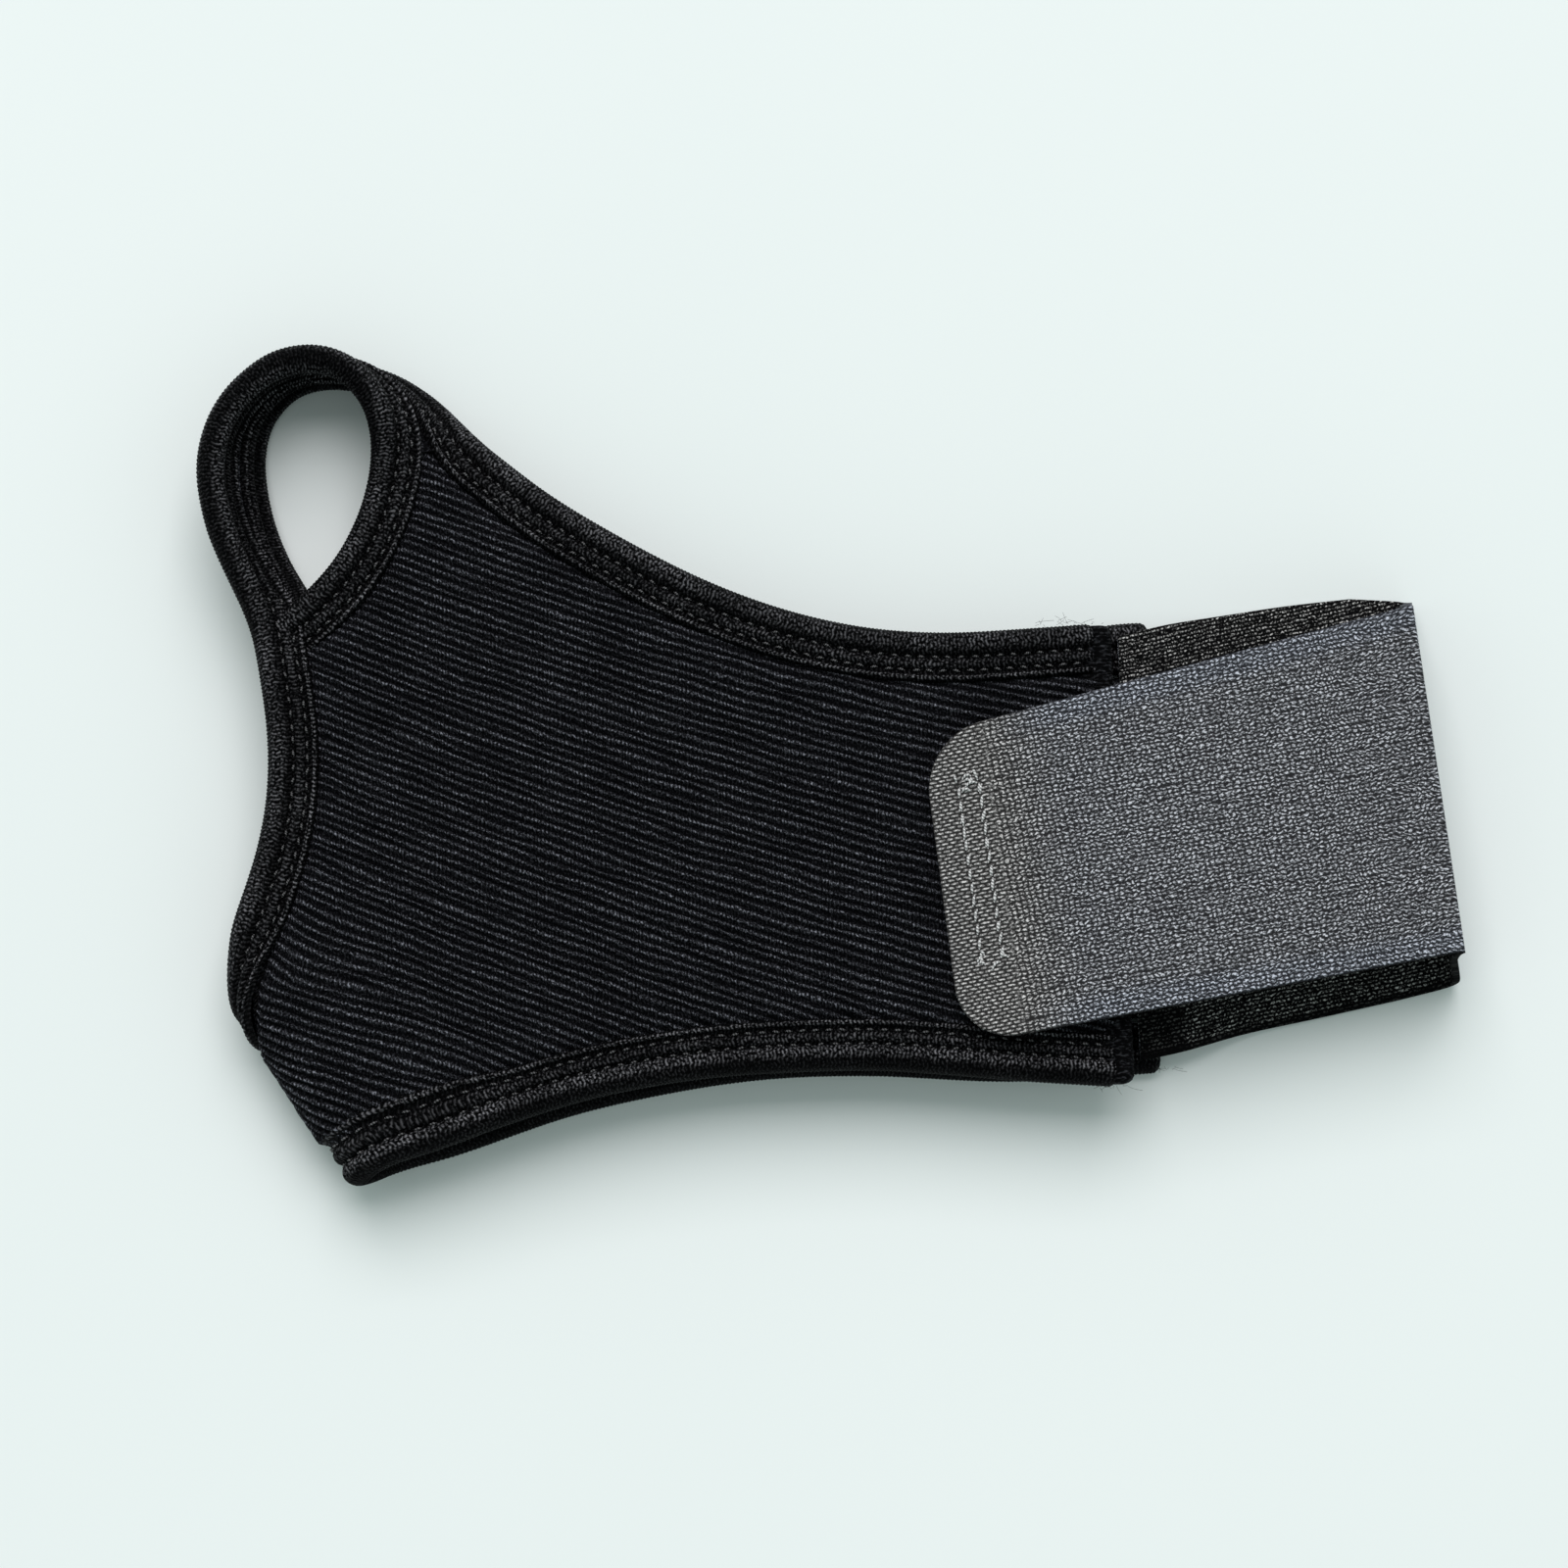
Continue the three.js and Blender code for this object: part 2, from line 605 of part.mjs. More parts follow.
// Strap: the run on the surface, the turn at its fold, and the flap with its rounded tip
function strapEdges() {
  const edge = (rows, side, steps) => {
    const points = columnCurve(rows, `${side}X`, `${side}Y`, "z").getSpacedPoints(steps);
    return points.map((point) => point.setZ(Math.max(point.z, STRAP_HALF)));
  };
  const far = edge(STRAP_RUN, "far", STRAP_RUN_STEPS);
  const near = edge(STRAP_RUN, "near", STRAP_RUN_STEPS);
  const farFlap = edge(STRAP_FLAP, "far", STRAP_FLAP_STEPS);
  const nearFlap = edge(STRAP_FLAP, "near", STRAP_FLAP_STEPS);
  const foldLine = new THREE.Vector3().subVectors(far.at(-1), near.at(-1));
  const outward = new THREE.Vector3(foldLine.y, -foldLine.x, 0).normalize();
  const turned = (from, to, step) => {
    const turn = Math.PI * step;
    const point = new THREE.Vector3().lerpVectors(from, to, (1 - Math.cos(turn)) / 2);
    return point.addScaledVector(outward, STRAP_FOLD_RADIUS * Math.sin(turn));
  };
  const farEnd = far.at(-1);
  const nearEnd = near.at(-1);
  for (let i = 1; i < STRAP_FOLD_STEPS; i += 1) {
    far.push(turned(farEnd, farFlap[0], i / STRAP_FOLD_STEPS));
    near.push(turned(nearEnd, nearFlap[0], i / STRAP_FOLD_STEPS));
  }
  return { far, near, farFlap, nearFlap };
}

function crossGrid(far, near, lines) {
  return far.map((point, i) => lineBetween(near[i], point, lines));
}

// Flap rows up to the tip, whose last rows draw in round its two corners
function flapRows(farFlap, nearFlap) {
  const farTip = farFlap.at(-1);
  const nearTip = nearFlap.at(-1);
  const length = farFlap[0].distanceTo(farTip);
  const rows = { far: [], near: [] };
  const push = (fromTip, drawIn) => {
    const step = fromTip / length;
    const far = new THREE.Vector3().lerpVectors(farTip, farFlap[0], step);
    const near = new THREE.Vector3().lerpVectors(nearTip, nearFlap[0], step);
    const across = new THREE.Vector3().subVectors(near, far).setLength(drawIn);
    rows.far.push(far.add(across));
    rows.near.push(near.sub(across));
  };
  for (let i = 0; i < STRAP_FLAP_STEPS; i += 1) {
    push(length - ((length - TIP_RADIUS) * i) / STRAP_FLAP_STEPS, 0);
  }
  for (let i = 0; i <= TIP_STEPS; i += 1) {
    const turn = ((Math.PI / 2) * i) / TIP_STEPS;
    push(TIP_RADIUS * (1 - Math.sin(turn)), TIP_RADIUS * (1 - Math.cos(turn)));
  }
  return rows;
}

function strap() {
  const { far, near, farFlap, nearFlap } = strapEdges();
  const flap = flapRows(farFlap, nearFlap);
  const grid = crossGrid([...far, ...flap.far], [...near, ...flap.near], STRAP_LINES);
  return evenSheet(grid, STRAP_HALF);
}

function hookPatch() {
  const { farFlap, nearFlap } = strapEdges();
  const inset = (from, to) => {
    const inward = new THREE.Vector3().subVectors(to, from).setLength(PATCH_MARGIN);
    return inward.add(from);
  };
  const { far: firstStep, near: lastStep } = PATCH_STEPS_FROM_TIP;
  const rows = [STRAP_FLAP_STEPS - firstStep, STRAP_FLAP_STEPS - lastStep];
  const far = rows.map((row) => inset(farFlap[row], nearFlap[row]));
  const near = rows.map((row) => inset(nearFlap[row], farFlap[row]));
  const top = FLAP_HEIGHT - STRAP_HALF - GAP;
  const grid = crossGrid(far, near, 1);
  const level = (z) => grid.map((row) => row.map((point) => point.clone().setZ(z)));
  return slab(level(top), level(top - PATCH_THICK));
}

// Materials
function cloth(color, roughness) {
  return new THREE.MeshStandardMaterial({ color, roughness, metalness: 0 });
}

function addPiece(group, name, geometry, material) {
  geometry.computeVertexNormals();
  const mesh = new THREE.Mesh(geometry, material);
  mesh.name = name;
  group.add(mesh);
}

const wrap = new THREE.Group();
wrap.position.set(SHIFT_X, 0, 0);
addPiece(wrap, "knit_body", knitBody(), cloth(0x17171c, 0.95));
addPiece(wrap, "thumb_loop", thumbLoop(), cloth(0x131317, 0.95));
addPiece(wrap, "thumb_hole_tape", tapeGeometry(holeTapeStations(), TAPE_HALF), cloth(0x1b1b1f, 0.7));
addPiece(wrap, "top_edge_tape", tapeGeometry(topTapeStations(), TAPE_HALF), cloth(0x1b1b1f, 0.7));
addPiece(wrap, "hand_edge_tape", tapeGeometry(handTapeStations(), TAPE_HALF), cloth(0x1b1b1f, 0.7));
addPiece(wrap, "bottom_edge_tape", tapeGeometry(bottomTapeStations(), TAPE_HALF), cloth(0x1b1b1f, 0.7));
addPiece(wrap, "front_end_hem", tapeGeometry(endHemStations(), HEM_HALF), cloth(0x101013, 0.8));
addPiece(wrap, "strap", strap(), cloth(0x64676e, 0.9));
addPiece(wrap, "hook_patch", hookPatch(), cloth(0x2a2b30, 0.8));

export default wrap;
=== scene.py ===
# Looks of the wrist wrap: ribbed knit, bound edges with rows of stitches, a thumb loop and a grey strap.
# Tables and sizes are in millimetres in the wrap's own plan, and become metres when a mesh is made.
# x goes from the thumb loop to the strap's fold, y to the loop's side, and z is up from the floor.

import math
from types import SimpleNamespace as Named

import bpy
import numpy as np
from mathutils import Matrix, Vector


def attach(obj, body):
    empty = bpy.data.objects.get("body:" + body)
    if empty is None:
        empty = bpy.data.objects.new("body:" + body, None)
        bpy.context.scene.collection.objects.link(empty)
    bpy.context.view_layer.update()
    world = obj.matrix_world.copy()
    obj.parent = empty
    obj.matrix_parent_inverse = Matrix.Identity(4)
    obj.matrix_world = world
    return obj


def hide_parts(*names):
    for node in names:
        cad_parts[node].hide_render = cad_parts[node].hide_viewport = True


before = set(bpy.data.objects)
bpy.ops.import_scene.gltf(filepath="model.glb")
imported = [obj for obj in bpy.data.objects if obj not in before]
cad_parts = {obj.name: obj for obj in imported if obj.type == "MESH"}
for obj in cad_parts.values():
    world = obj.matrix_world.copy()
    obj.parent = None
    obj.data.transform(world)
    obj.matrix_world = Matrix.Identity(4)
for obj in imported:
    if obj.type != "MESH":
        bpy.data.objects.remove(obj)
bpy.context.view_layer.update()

# Shared frame: metres in a millimetre, and the plan's shift along x in it
MM = 0.001
SHIFT_X = 0.4

# Heights to the middle of the walls
FRONT_HEIGHT = 13.0
BACK_HEIGHT = 2.1
FOLD_RADIUS = (FRONT_HEIGHT - BACK_HEIGHT) / 2

# Swell of the front panel and the droop of its shoulder into the thumb loop
SWELL = Named(rise=1.4, x=-35, y=-8, spread_x=38, spread_y=30)
DROOP = Named(depth=3.5, from_y=28, over_y=20.3, from_x=-69, over_x=13.5)

# Points of a smooth line between two rows of its table
STRETCH_POINTS = 40

# Edges of the front panel laid flat, at the middle of the tape's roll: x, y
# The hand edge and the bottom edge run on past the fold, to where the back band begins
TOP_EDGE = [
    (40.6, 18.25), (29, 17.4), (17, 16.8), (4.8, 17.7), (-7.5, 20.5),
    (-19.7, 25.1), (-31.9, 31.4), (-44.1, 39), (-55.5, 48.3),
]
HOLE_EDGE = [
    (-68, 46.5), (-68.5, 42.5), (-69.6, 37.8), (-71.6, 33), (-74.4, 28.2), (-78, 24.2), (-81.2, 21.4),
    (-84.2, 18.8),
]
HAND_EDGE = [
    (-86, 20.2), (-84.6, 13), (-83.2, 4), (-82.9, -4), (-83.6, -11), (-85.2, -18), (-87, -23.5),
    (-88.6, -28.7), (-89.2, -33), (-89.4, -38), (-90.8, -41.9), (-94.2, -46),
]
BOTTOM_EDGE = [
    (43.4, -48.4), (28.7, -47.5), (16.9, -46.5), (5.1, -45.9), (-12.8, -46.6),
    (-24.7, -48), (-36.6, -50.4), (-48.5, -54.1), (-58, -57.4), (-64.5, -59), (-68, -61), (-71.8, -63.3),
    (-75.4, -66.1), (-78.6, -68.7),
]
# Line of the fold, and its bulge between the two ends
FOLD_LOWER = (-64.5, -59)
FOLD_UPPER = (-85.6, -28.3)
FOLD_BULGE = Named(out=2.9, reach=16, from_lower=-14, over_lower=20, to_upper=40, over_upper=12)
# Corners of the front panel's cut end
FRONT_END_UPPER = (41.1, 20.1)
FRONT_END_LOWER = (44.1, -50.2)

# Edges of the back band in plan, from the fold to its end under the strap: x, y
BACK_UPPER_EDGE = [
    (-80.1, -36.3), (-70, -31), (-50, -21.5), (-25, -10.5), (0, 1.5), (25, 13), (36, 18),
    (43, 20.3), (49.5, 20.6),
]
BACK_LOWER_EDGE = [
    (-64.5, -59), (-55.2, -57), (-37.2, -51), (-14.7, -46.6), (5, -45.5), (28, -46.4), (50.5, -45),
]

# Rims of the thumb loop, from the shoulder round to the hand edge: x, y, z
LOOP_NEAR_RIM = [
    (-68, 46.5, 13), (-68.6, 52.5, 13.9), (-71.8, 58.2, 14.6), (-77.3, 61.4, 15), (-84, 60.8, 15),
    (-90, 56.5, 15), (-93.9, 49.5, 15), (-94.4, 41.5, 14.8), (-92, 33, 14.2), (-88.9, 26.5, 13.5),
    (-86.4, 21, 13),
]
LOOP_FAR_RIM = [
    (-55.5, 48.3, 9.6), (-62, 55.4, 4.8), (-68.5, 60.2, 2.6), (-75, 62, 2.1), (-81.3, 61.7, 2.1),
    (-86.6, 58.2, 2.1), (-89.6, 52, 2.1), (-89.4, 43.5, 2.1), (-87.4, 36, 2.8), (-84.6, 30, 4.2),
    (-81.8, 25.6, 5.6), (-79.6, 21.5, 8.4),
]
LOOP_ROWS = 300

# Strap by its far and near edges: x, y of the far edge, x, y of the near edge, height
STRAP_HALF = 0.55
FLAP_HEIGHT = 17.4
STRAP_RUN = [
    (44.4, 19.8, 47.2, -45.6, 5.2),
    (52, 21.8, 54.5, -44, 4.9),
    (61, 23.9, 64, -41, 1.6),
    (71, 25.6, 75, -38.5, 0.65),
    (80.6, 26.7, 86.6, -35.9, 0.65),
]
# Section of the strap's fold: out from the end of the run, up
STRAP_FOLD = [
    (0, 0), (5.6, 0), (7.8, 0.3), (8.9, 1.3), (9, 3), (8.5, 6.5), (7.8, 10.5), (7.4, 13.4), (7.6, 15.3),
    (8.3, 16.3), (7.4, 16.7), (5.4, 16.75), (0, 16.75),
]
# Drift of the fold's edges along y for each millimetre out: at the foot, at the lip
FOLD_DRIFT = {"far": (-0.05, 0.27), "near": (0.25, 0.19)}
FLAP_FOLD = {"far": (79.8, 20), "near": (86.6, -32.2)}
FLAP_TIP = {"far": (14, 1.9), "near": (20, -44.8)}
TIP_RADIUS = 9.0
STRAP_COLUMNS = 84
# Rows of the strap's grid: run, fold, flap as far as its round tip, tip
STRAP_ROWS = Named(run=60, fold=80, flap=89, tip=24)
FLAP_WAVE = Named(rise=0.25, along=16, across=14, from_tip=72, over=10)
TIP_SINK = Named(depth=1.2, over=12)
# Seam of the tip: rows by their distance to the tip, stitches across the strap, dent under the thread
TIP_SEAM = Named(rows=(4.6, 7.8), start=12.0, end=38.8, pitch=2.1, length=1.45)
TIP_DENT = Named(depth=0.42, half=0.5, fade=1)
# Painted shadow in a line beside each row of tip stitches: offset, core, fade, darkness, and where it
# begins and ends across the strap
TIP_STITCH_SHADOW = Named(aside=0.15, core=0.2, fade=0.7, dark=0.8, begin=(9.0, 12.0), end=(39.0, 42.0))
TIP_STITCH = Named(
    points=7, ply=0.13, lean=(0.05, 0.35), sway=0.12, stray=0.3,
    lift=0.02, arch=0.3, thin=0.11, swell=0.1,
)
TIP_LOOPS = Named(count=7, size=1.6, along=1.3, across=0.8, bow=0.4)
HOOK_PATCH = Named(from_tip=7.0, end=27.0, step=0.4, columns=100, margin=5.0, gap=0.05, thick=1.0, hook=0.4)

# Ribs of the knit: rows one above the other, running down towards the strap and easing with x
RIB_RISE = 1.37
LOWEST_RIB_Y = -56.0
RIB_START_X = -80.0
RIB_SLOPE = 0.425
RIB_BEND = Named(at_zero=0.00078, per_mm=0.000005)
RIB_GROOVE = 0.75
RIB_CREST = 1.65
RIB_POWER = 0.9
RIB_LINES = 4
RIB_STEP = 0.5
RIB_STRAY = Named(out=0.26, along=7, ribs=1.2)
RIB_PULL = Named(share=0.2, along=5)
RIB_LOOP = 0.62
KNIT_SPAN = Named(x=(-104, 46), ribs=(-16, 85))
# Strips of knit: share of the width under each tape, ribs, then faces and ribs out from the middle
BACK_STRIP = Named(under=0.1, ribs=36, outer=0.75, rib=0.9, inner=0.65, inner_rib=0.3)
LOOP_STRIP = Named(under=0.12, ribs=4, outer=0.5, rib=0.3, inner=0.5, inner_rib=0.3)
BACK_ROWS = 100
# Inner face of the front panel, and its edge, which the tape covers and pinches
INNER_FACE = Named(at=-0.65, rib=0.3, step=2.0, lines=3)
KNIT_UNDER_TAPE = 4.6
PINCH = Named(least=0.2, start=5.4, over=1.8)

# Edge tape: a roll over the edge, a groove, a band, a groove and a cord: inward, out
TAPE_REACH = 6.0
ROLL_RADIUS = 2.1
ROLL_RISE = 1.08
TAPE_FACE = [
    (1.85, 0.7), (2.1, 1.2), (2.5, 1.6), (3, 1.7), (3.45, 1.5), (3.75, 1.05), (4, 0.7), (4.3, 0.85),
    (4.6, 0.95), (4.75, 1.45), (5.1, 1.85), (5.45, 1.5), (5.65, 0.9), (5.75, 0.3),
]
ROLL_TURN = Named(start=40, end=320, points=22)
TAPE_END = 1.5
TAPE_WINDOW = 41
TAPE_OVERLAP = 0.2
FLOOR_GAP = 0.03
TAPE_RELIEF = Named(thread=0.07, stray=3, uneven=0.09, along=5, around=6)
LOW_CORNER = Named(wider=0.32, start=22, over=16)
HOLE_FOOT = Named(from_x=-77.5, over=5.0, drop=1.4)
# Points left out where the loop's rims run into the hand edge
HAND_SKIP = 12
FOOT_SKIP = 40

# Painted highlight on the tape's threads, by the distance round its section from the nearer lip; the bottom
# tape's roll faces the lamp at another place, so it has its own
HALF_ROUND = 12.5
CORD_SHINE = Named(place=1.73, core=0.25, fade=0.65, share=0.9)
BAND_SHINE = Named(place=4.9, core=0.3, fade=1.1, share=0.36)
ROLL_SHINE = Named(place=9.7, core=0.6, fade=2.1, share=0.6)
LOW_ROLL_SHINE = Named(place=8.2, core=0.5, fade=1.5, share=0.85)

# Cut end of the front panel, stitches in the tape's grooves and threads of the tape
HEM_FACE = [(2.3, 1.2), (2.7, 1.2), (3.1, 0.9), (3.4, 0.4)]
HEM_SWELL = 0.82
HEM_ROWS = 60
STITCH = Named(
    rows=(1.88, 4.0), pitch=2.0, length=1.0, first=1.5, last=3, points=6, stray=0.15, lean=0.16,
    lift=0.85, arch=0.42, thin=0.11, swell=0.09,
)
LEVEL_WALL = 0.7
TUBE_SIDES = 6
THREAD_PITCH = 0.6
THREAD_ROWS = 3

# Tufts of stray fibres: middle, spread, side that they leave by, count
FIBRE_TUFTS = [
    ((36, 20.2, 13.6), (5, 0.4, 0.8), 1, 26),
    ((45.5, 20.4, 3.6), (2.5, 0.4, 0.5), 1, 10),
    ((42, -50.2, 12.8), (2.5, 0.4, 0.8), -1, 16),
    ((50.5, -46.3, 3), (2, 0.4, 0.6), -1, 14),
]
FIBRE = Named(radius=0.024, length=(0.5, 1.7), points=9, lowest=0.15)

# Dashes of the weaves: length, height of a row
STRAP_DASH = (0.9, 0.66)
TIP_DASH = (1.3, 0.56)
INSIDE_DASH = (0.92, 0.62)
HOOK_DASH = (1.2, 1.0)

# Stage in metres: floor, light from all round and one large lamp
FLOOR_SIZE = 6
SKY = Named(colour=(0.86, 1, 0.96, 1), strength=0.5)
LAMP = Named(size=3.8, energy=171, colour=(1, 0.94, 0.95), place=(-0.1, 2.5, 3.8))

# Camera: degrees up, distance, height of its target, sensor, lens, and shift in pixels of the picture
CAMERA = Named(up=80, away=750, target=6, sensor=36, lens=112.5, shift=(-46, -21))
PICTURE = 1600


# Small helpers on points

def norm(vectors):
    return np.linalg.norm(vectors, axis=-1)


def unit(vectors):
    return vectors / norm(vectors)[..., None]


def smooth_step(value):
    value = np.clip(value, 0, 1)
    return value * value * (3 - 2 * value)


def smooth_line(rows, height=0):
    """A smooth curve through the rows, as closely spaced points. Rows of x and y take the height."""
    rows = np.array([(*row, height)[:3] for row in rows], float)
    padded = np.vstack([2 * rows[0] - rows[1], rows, 2 * rows[-1] - rows[-2]])
    step = np.linspace(0, 1, STRETCH_POINTS, endpoint=False)[:, None]
    stretches = []
    for before, start, end, after in zip(padded, padded[1:], padded[2:], padded[3:]):
        leave = (end - before) / 2
        arrive = (after - start) / 2
        bend = 3 * (end - start) - 2 * leave - arrive
        twist = 2 * (start - end) + leave + arrive
        stretches.append(start + leave * step + bend * step**2 + twist * step**3)
    return np.vstack([*stretches, rows[-1:]])


def lengths_along(line):
    return np.cumsum(norm(np.diff(line, axis=0, prepend=line[:1])))


def sample(values, at, places):
    """Values given at rising places along a line, read between them at other places."""
    return np.stack([np.interp(places, at, column) for column in values.T], -1)


def spaced(line, count):
    along = lengths_along(line)
    return sample(line, along, np.linspace(0, along[-1], count))


def distance_to(points, line):
    """Distance from each point to the nearest point of a line."""
    nearest = np.full(len(points), np.inf)
    for place in line:
        nearest = np.minimum(nearest, norm(points - place))
    return nearest


def ripple(x, y, seed):
    """Smooth noise from -1 to 1 that changes over one unit of x and y."""
    size = 97
    table = np.random.default_rng(seed).uniform(-1, 1, (size, size))
    column = np.floor(x).astype(int)
    row = np.floor(y).astype(int)
    across = smooth_step(x - column)
    up = smooth_step(y - row)

    def level(row):
        left = table[column % size, row % size]
        right = table[(column + 1) % size, row % size]
        return left * (1 - across) + right * across

    return level(row) * (1 - up) + level(row + 1) * up


def front_height(x, y):
    """Height of the middle of the front panel's wall."""
    swell = SWELL.rise * np.exp(
        -(((x - SWELL.x) / SWELL.spread_x) ** 2) - ((y - SWELL.y) / SWELL.spread_y) ** 2
    )
    down = np.maximum(0, y - DROOP.from_y) / DROOP.over_y
    droop = DROOP.depth * down**2 * np.clip((x - DROOP.from_x) / DROOP.over_x, 0, 1)
    return FRONT_HEIGHT + swell - droop


def on_wrap(flat, height=0.0):
    """Points of the flat panel at a height over the middle of the wall, bent round the fold."""
    past = np.maximum((flat - FOLD_LOWER) @ fold_out, 0)
    turn = past / FOLD_RADIUS
    base = flat - past[:, None] * fold_out
    rise = front_height(base[:, 0], base[:, 1]) - FRONT_HEIGHT
    radius = FOLD_RADIUS + height
    plan = base + (radius * np.sin(turn))[:, None] * fold_out
    level = BACK_HEIGHT + FOLD_RADIUS + radius * np.cos(turn) + rise * np.maximum(np.cos(turn), 0)
    return np.column_stack([plan, level])


def bulged(points):
    """Points pushed outward near the fold, which stands further out in its middle than at its ends."""
    place = points[..., :2] - FOLD_LOWER
    along = place @ fold_along
    near = smooth_step((place @ fold_out + FOLD_BULGE.reach) / FOLD_BULGE.reach)
    lower = smooth_step((along - FOLD_BULGE.from_lower) / FOLD_BULGE.over_lower)
    upper = smooth_step((FOLD_BULGE.to_upper - along) / FOLD_BULGE.over_upper)
    moved = points.copy()
    moved[..., :2] += (FOLD_BULGE.out * near * lower * upper)[..., None] * fold_out
    return moved


# Meshes

def grid_faces(rows, columns, closed=False):
    """Faces of a grid of points, whose rows are rings when it is closed."""
    steps = columns if closed else columns - 1
    row, column = np.meshgrid(np.arange(rows - 1), np.arange(steps), indexing="ij")
    after = (column + 1) % columns
    here = row * columns
    beyond = here + columns
    corners = [here + column, here + after, beyond + after, beyond + column]
    return np.stack(corners, -1).reshape(-1, 4)


def pairs(first, second):
    """Two grids, or a row and a column, as pattern coordinates."""
    return np.stack(np.broadcast_arrays(first, second), -1)


def closed_slab(outer, inner, uv):
    """A thin slab between two grids: points, faces and pattern coordinates."""
    ring = np.concatenate([outer, inner[:, ::-1]], axis=1)
    columns = outer.shape[1]
    faces = grid_faces(len(ring), 2 * columns, closed=True)
    cap = np.array([[k, k + 1, 2 * columns - 2 - k, 2 * columns - 1 - k] for k in range(columns - 1)])
    last = cap[:, ::-1] + (len(ring) - 1) * 2 * columns
    return ring, np.vstack([faces, cap, last]), np.concatenate([uv, uv[:, ::-1]], axis=1)


def add_pattern(mesh, name, uv):
    """Gives the mesh a layer of pattern coordinates, a pair for each point."""
    corner = np.empty(len(mesh.loops), np.int32)
    mesh.loops.foreach_get("vertex_index", corner)
    layer = mesh.uv_layers.new(name=name)
    layer.data.foreach_set("uv", uv.reshape(-1, 2)[corner].astype(np.float32).ravel())


def linked(name, data):
    """A new object with this data, in the scene."""
    made = bpy.data.objects.new(name, data)
    bpy.context.scene.collection.objects.link(made)
    return made


def add_piece(name, points, faces, uv, material, slot, replaces=()):
    """A smooth mesh in the shared frame, riding on the wrap, with its own pattern coordinates."""
    mesh = bpy.data.meshes.new(name)
    placed = (bulged(points.reshape(-1, 3)) + (SHIFT_X, 0, 0)) * MM
    mesh.from_pydata(placed.tolist(), [], faces.tolist())
    add_pattern(mesh, "pattern", uv)
    mesh.shade_smooth()
    mesh.materials.append(material)
    piece = linked(name, mesh)
    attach(piece, "root")
    if replaces:
        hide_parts(*replaces)
    return piece


# Materials

def colour(red, green, blue):
    """A screen colour, 0 to 255, as the shader takes it."""
    def linear(value):
        share = value / 255
        return share / 12.92 if share <= 0.04045 else ((share + 0.055) / 1.055) ** 2.4
    return (linear(red), linear(green), linear(blue), 1)


class Look:
    """A principled material and short calls for the nodes of its pattern."""

    def __init__(self, name, roughness, shine):
        self.material = bpy.data.materials.new(name)
        self.material.use_nodes = True
        self.tree = self.material.node_tree
        self.shader = self.tree.nodes["Principled BSDF"]
        self.feed(self.shader, Roughness=roughness, Specular_IOR_Level=shine)

    def node(self, kind, **inputs):
        made = self.tree.nodes.new(kind)
        self.feed(made, **inputs)
        return made

    def feed(self, node, **inputs):
        for socket, value in inputs.items():
            self.put(node.inputs[socket.replace("_", " ")], value)

    def put(self, socket, value):
        if isinstance(value, bpy.types.NodeSocket):
            self.tree.links.new(value, socket)
        else:
            socket.default_value = value

    def pattern(self, layer="pattern"):
        made = self.node("ShaderNodeUVMap")
        made.uv_map = layer
        parts = self.node("ShaderNodeSeparateXYZ", Vector=made.outputs["UV"])
        return parts.outputs["X"], parts.outputs["Y"]

    def place(self, x, y):
        return self.node("ShaderNodeCombineXYZ", X=x, Y=y).outputs["Vector"]

    def math(self, operation, first, second=0.0, third=0.0):
        made = self.node("ShaderNodeMath")
        made.operation = operation
        for socket, value in zip(made.inputs, (first, second, third)):
            self.put(socket, value)
        return made.outputs["Value"]

    def times(self, *values):
        product = values[0]
        for value in values[1:]:
            product = self.math("MULTIPLY", product, value)
        return product

    def scaled(self, value, factor, added):
        return self.math("MULTIPLY_ADD", value, factor, added)

    def away(self, value, place):
        return self.math("ABSOLUTE", self.math("SUBTRACT", value, place))

    def between(self, value, low, high, to_low=0.0, to_high=1.0):
        made = self.node("ShaderNodeMapRange")
        made.interpolation_type = "SMOOTHSTEP"
        self.feed(made, Value=value, From_Min=low, From_Max=high, To_Min=to_low, To_Max=to_high)
        return made.outputs["Result"]

    def noise(self, vector, scale, detail=2.0):
        return self.node("ShaderNodeTexNoise", Vector=vector, Scale=scale, Detail=detail).outputs["Fac"]

    def wave(self, turns):
        """A wave from 0 to 1 that repeats once in each whole turn."""
        swing = self.math("SINE", self.times(turns, 2 * math.pi))
        return self.scaled(swing, 0.5, 0.5)

    def hump(self, turns, power):
        """Round humps from 0 to 1, one in each whole turn, with narrow gaps when the power is low."""
        swing = self.math("SINE", self.times(turns, math.pi))
        return self.math("POWER", self.math("ABSOLUTE", swing), power)

    def weave(self, along, across, length, row, shift=0.5):
        """Rows of dashes, each shifted by a share of a dash: their shape, and a random value for each."""
        rows = self.math("DIVIDE", across, row)
        number = self.math("FLOOR", rows)
        dashes = self.scaled(number, shift, self.math("DIVIDE", along, length))
        shape = self.times(self.hump(rows, 1.6), self.hump(dashes, 0.9))
        chance = self.node("ShaderNodeTexWhiteNoise")
        chance.noise_dimensions = "2D"
        self.feed(chance, Vector=self.place(self.math("FLOOR", dashes), number))
        return shape, chance.outputs["Value"]

    def mix(self, share, first, second):
        """Two colours mixed, through sockets that go by number because others share their names."""
        made = self.node("ShaderNodeMix")
        made.data_type = "RGBA"
        self.put(made.inputs["Factor"], share)
        self.put(made.inputs[6], first)
        self.put(made.inputs[7], second)
        return made.outputs[2]

    def paint(self, tint):
        self.feed(self.shader, Base_Color=tint)

    def bump(self, height, distance):
        made = self.node("ShaderNodeBump", Height=height, Distance=distance * MM, Strength=1.0)
        self.feed(self.shader, Normal=made.outputs["Normal"])


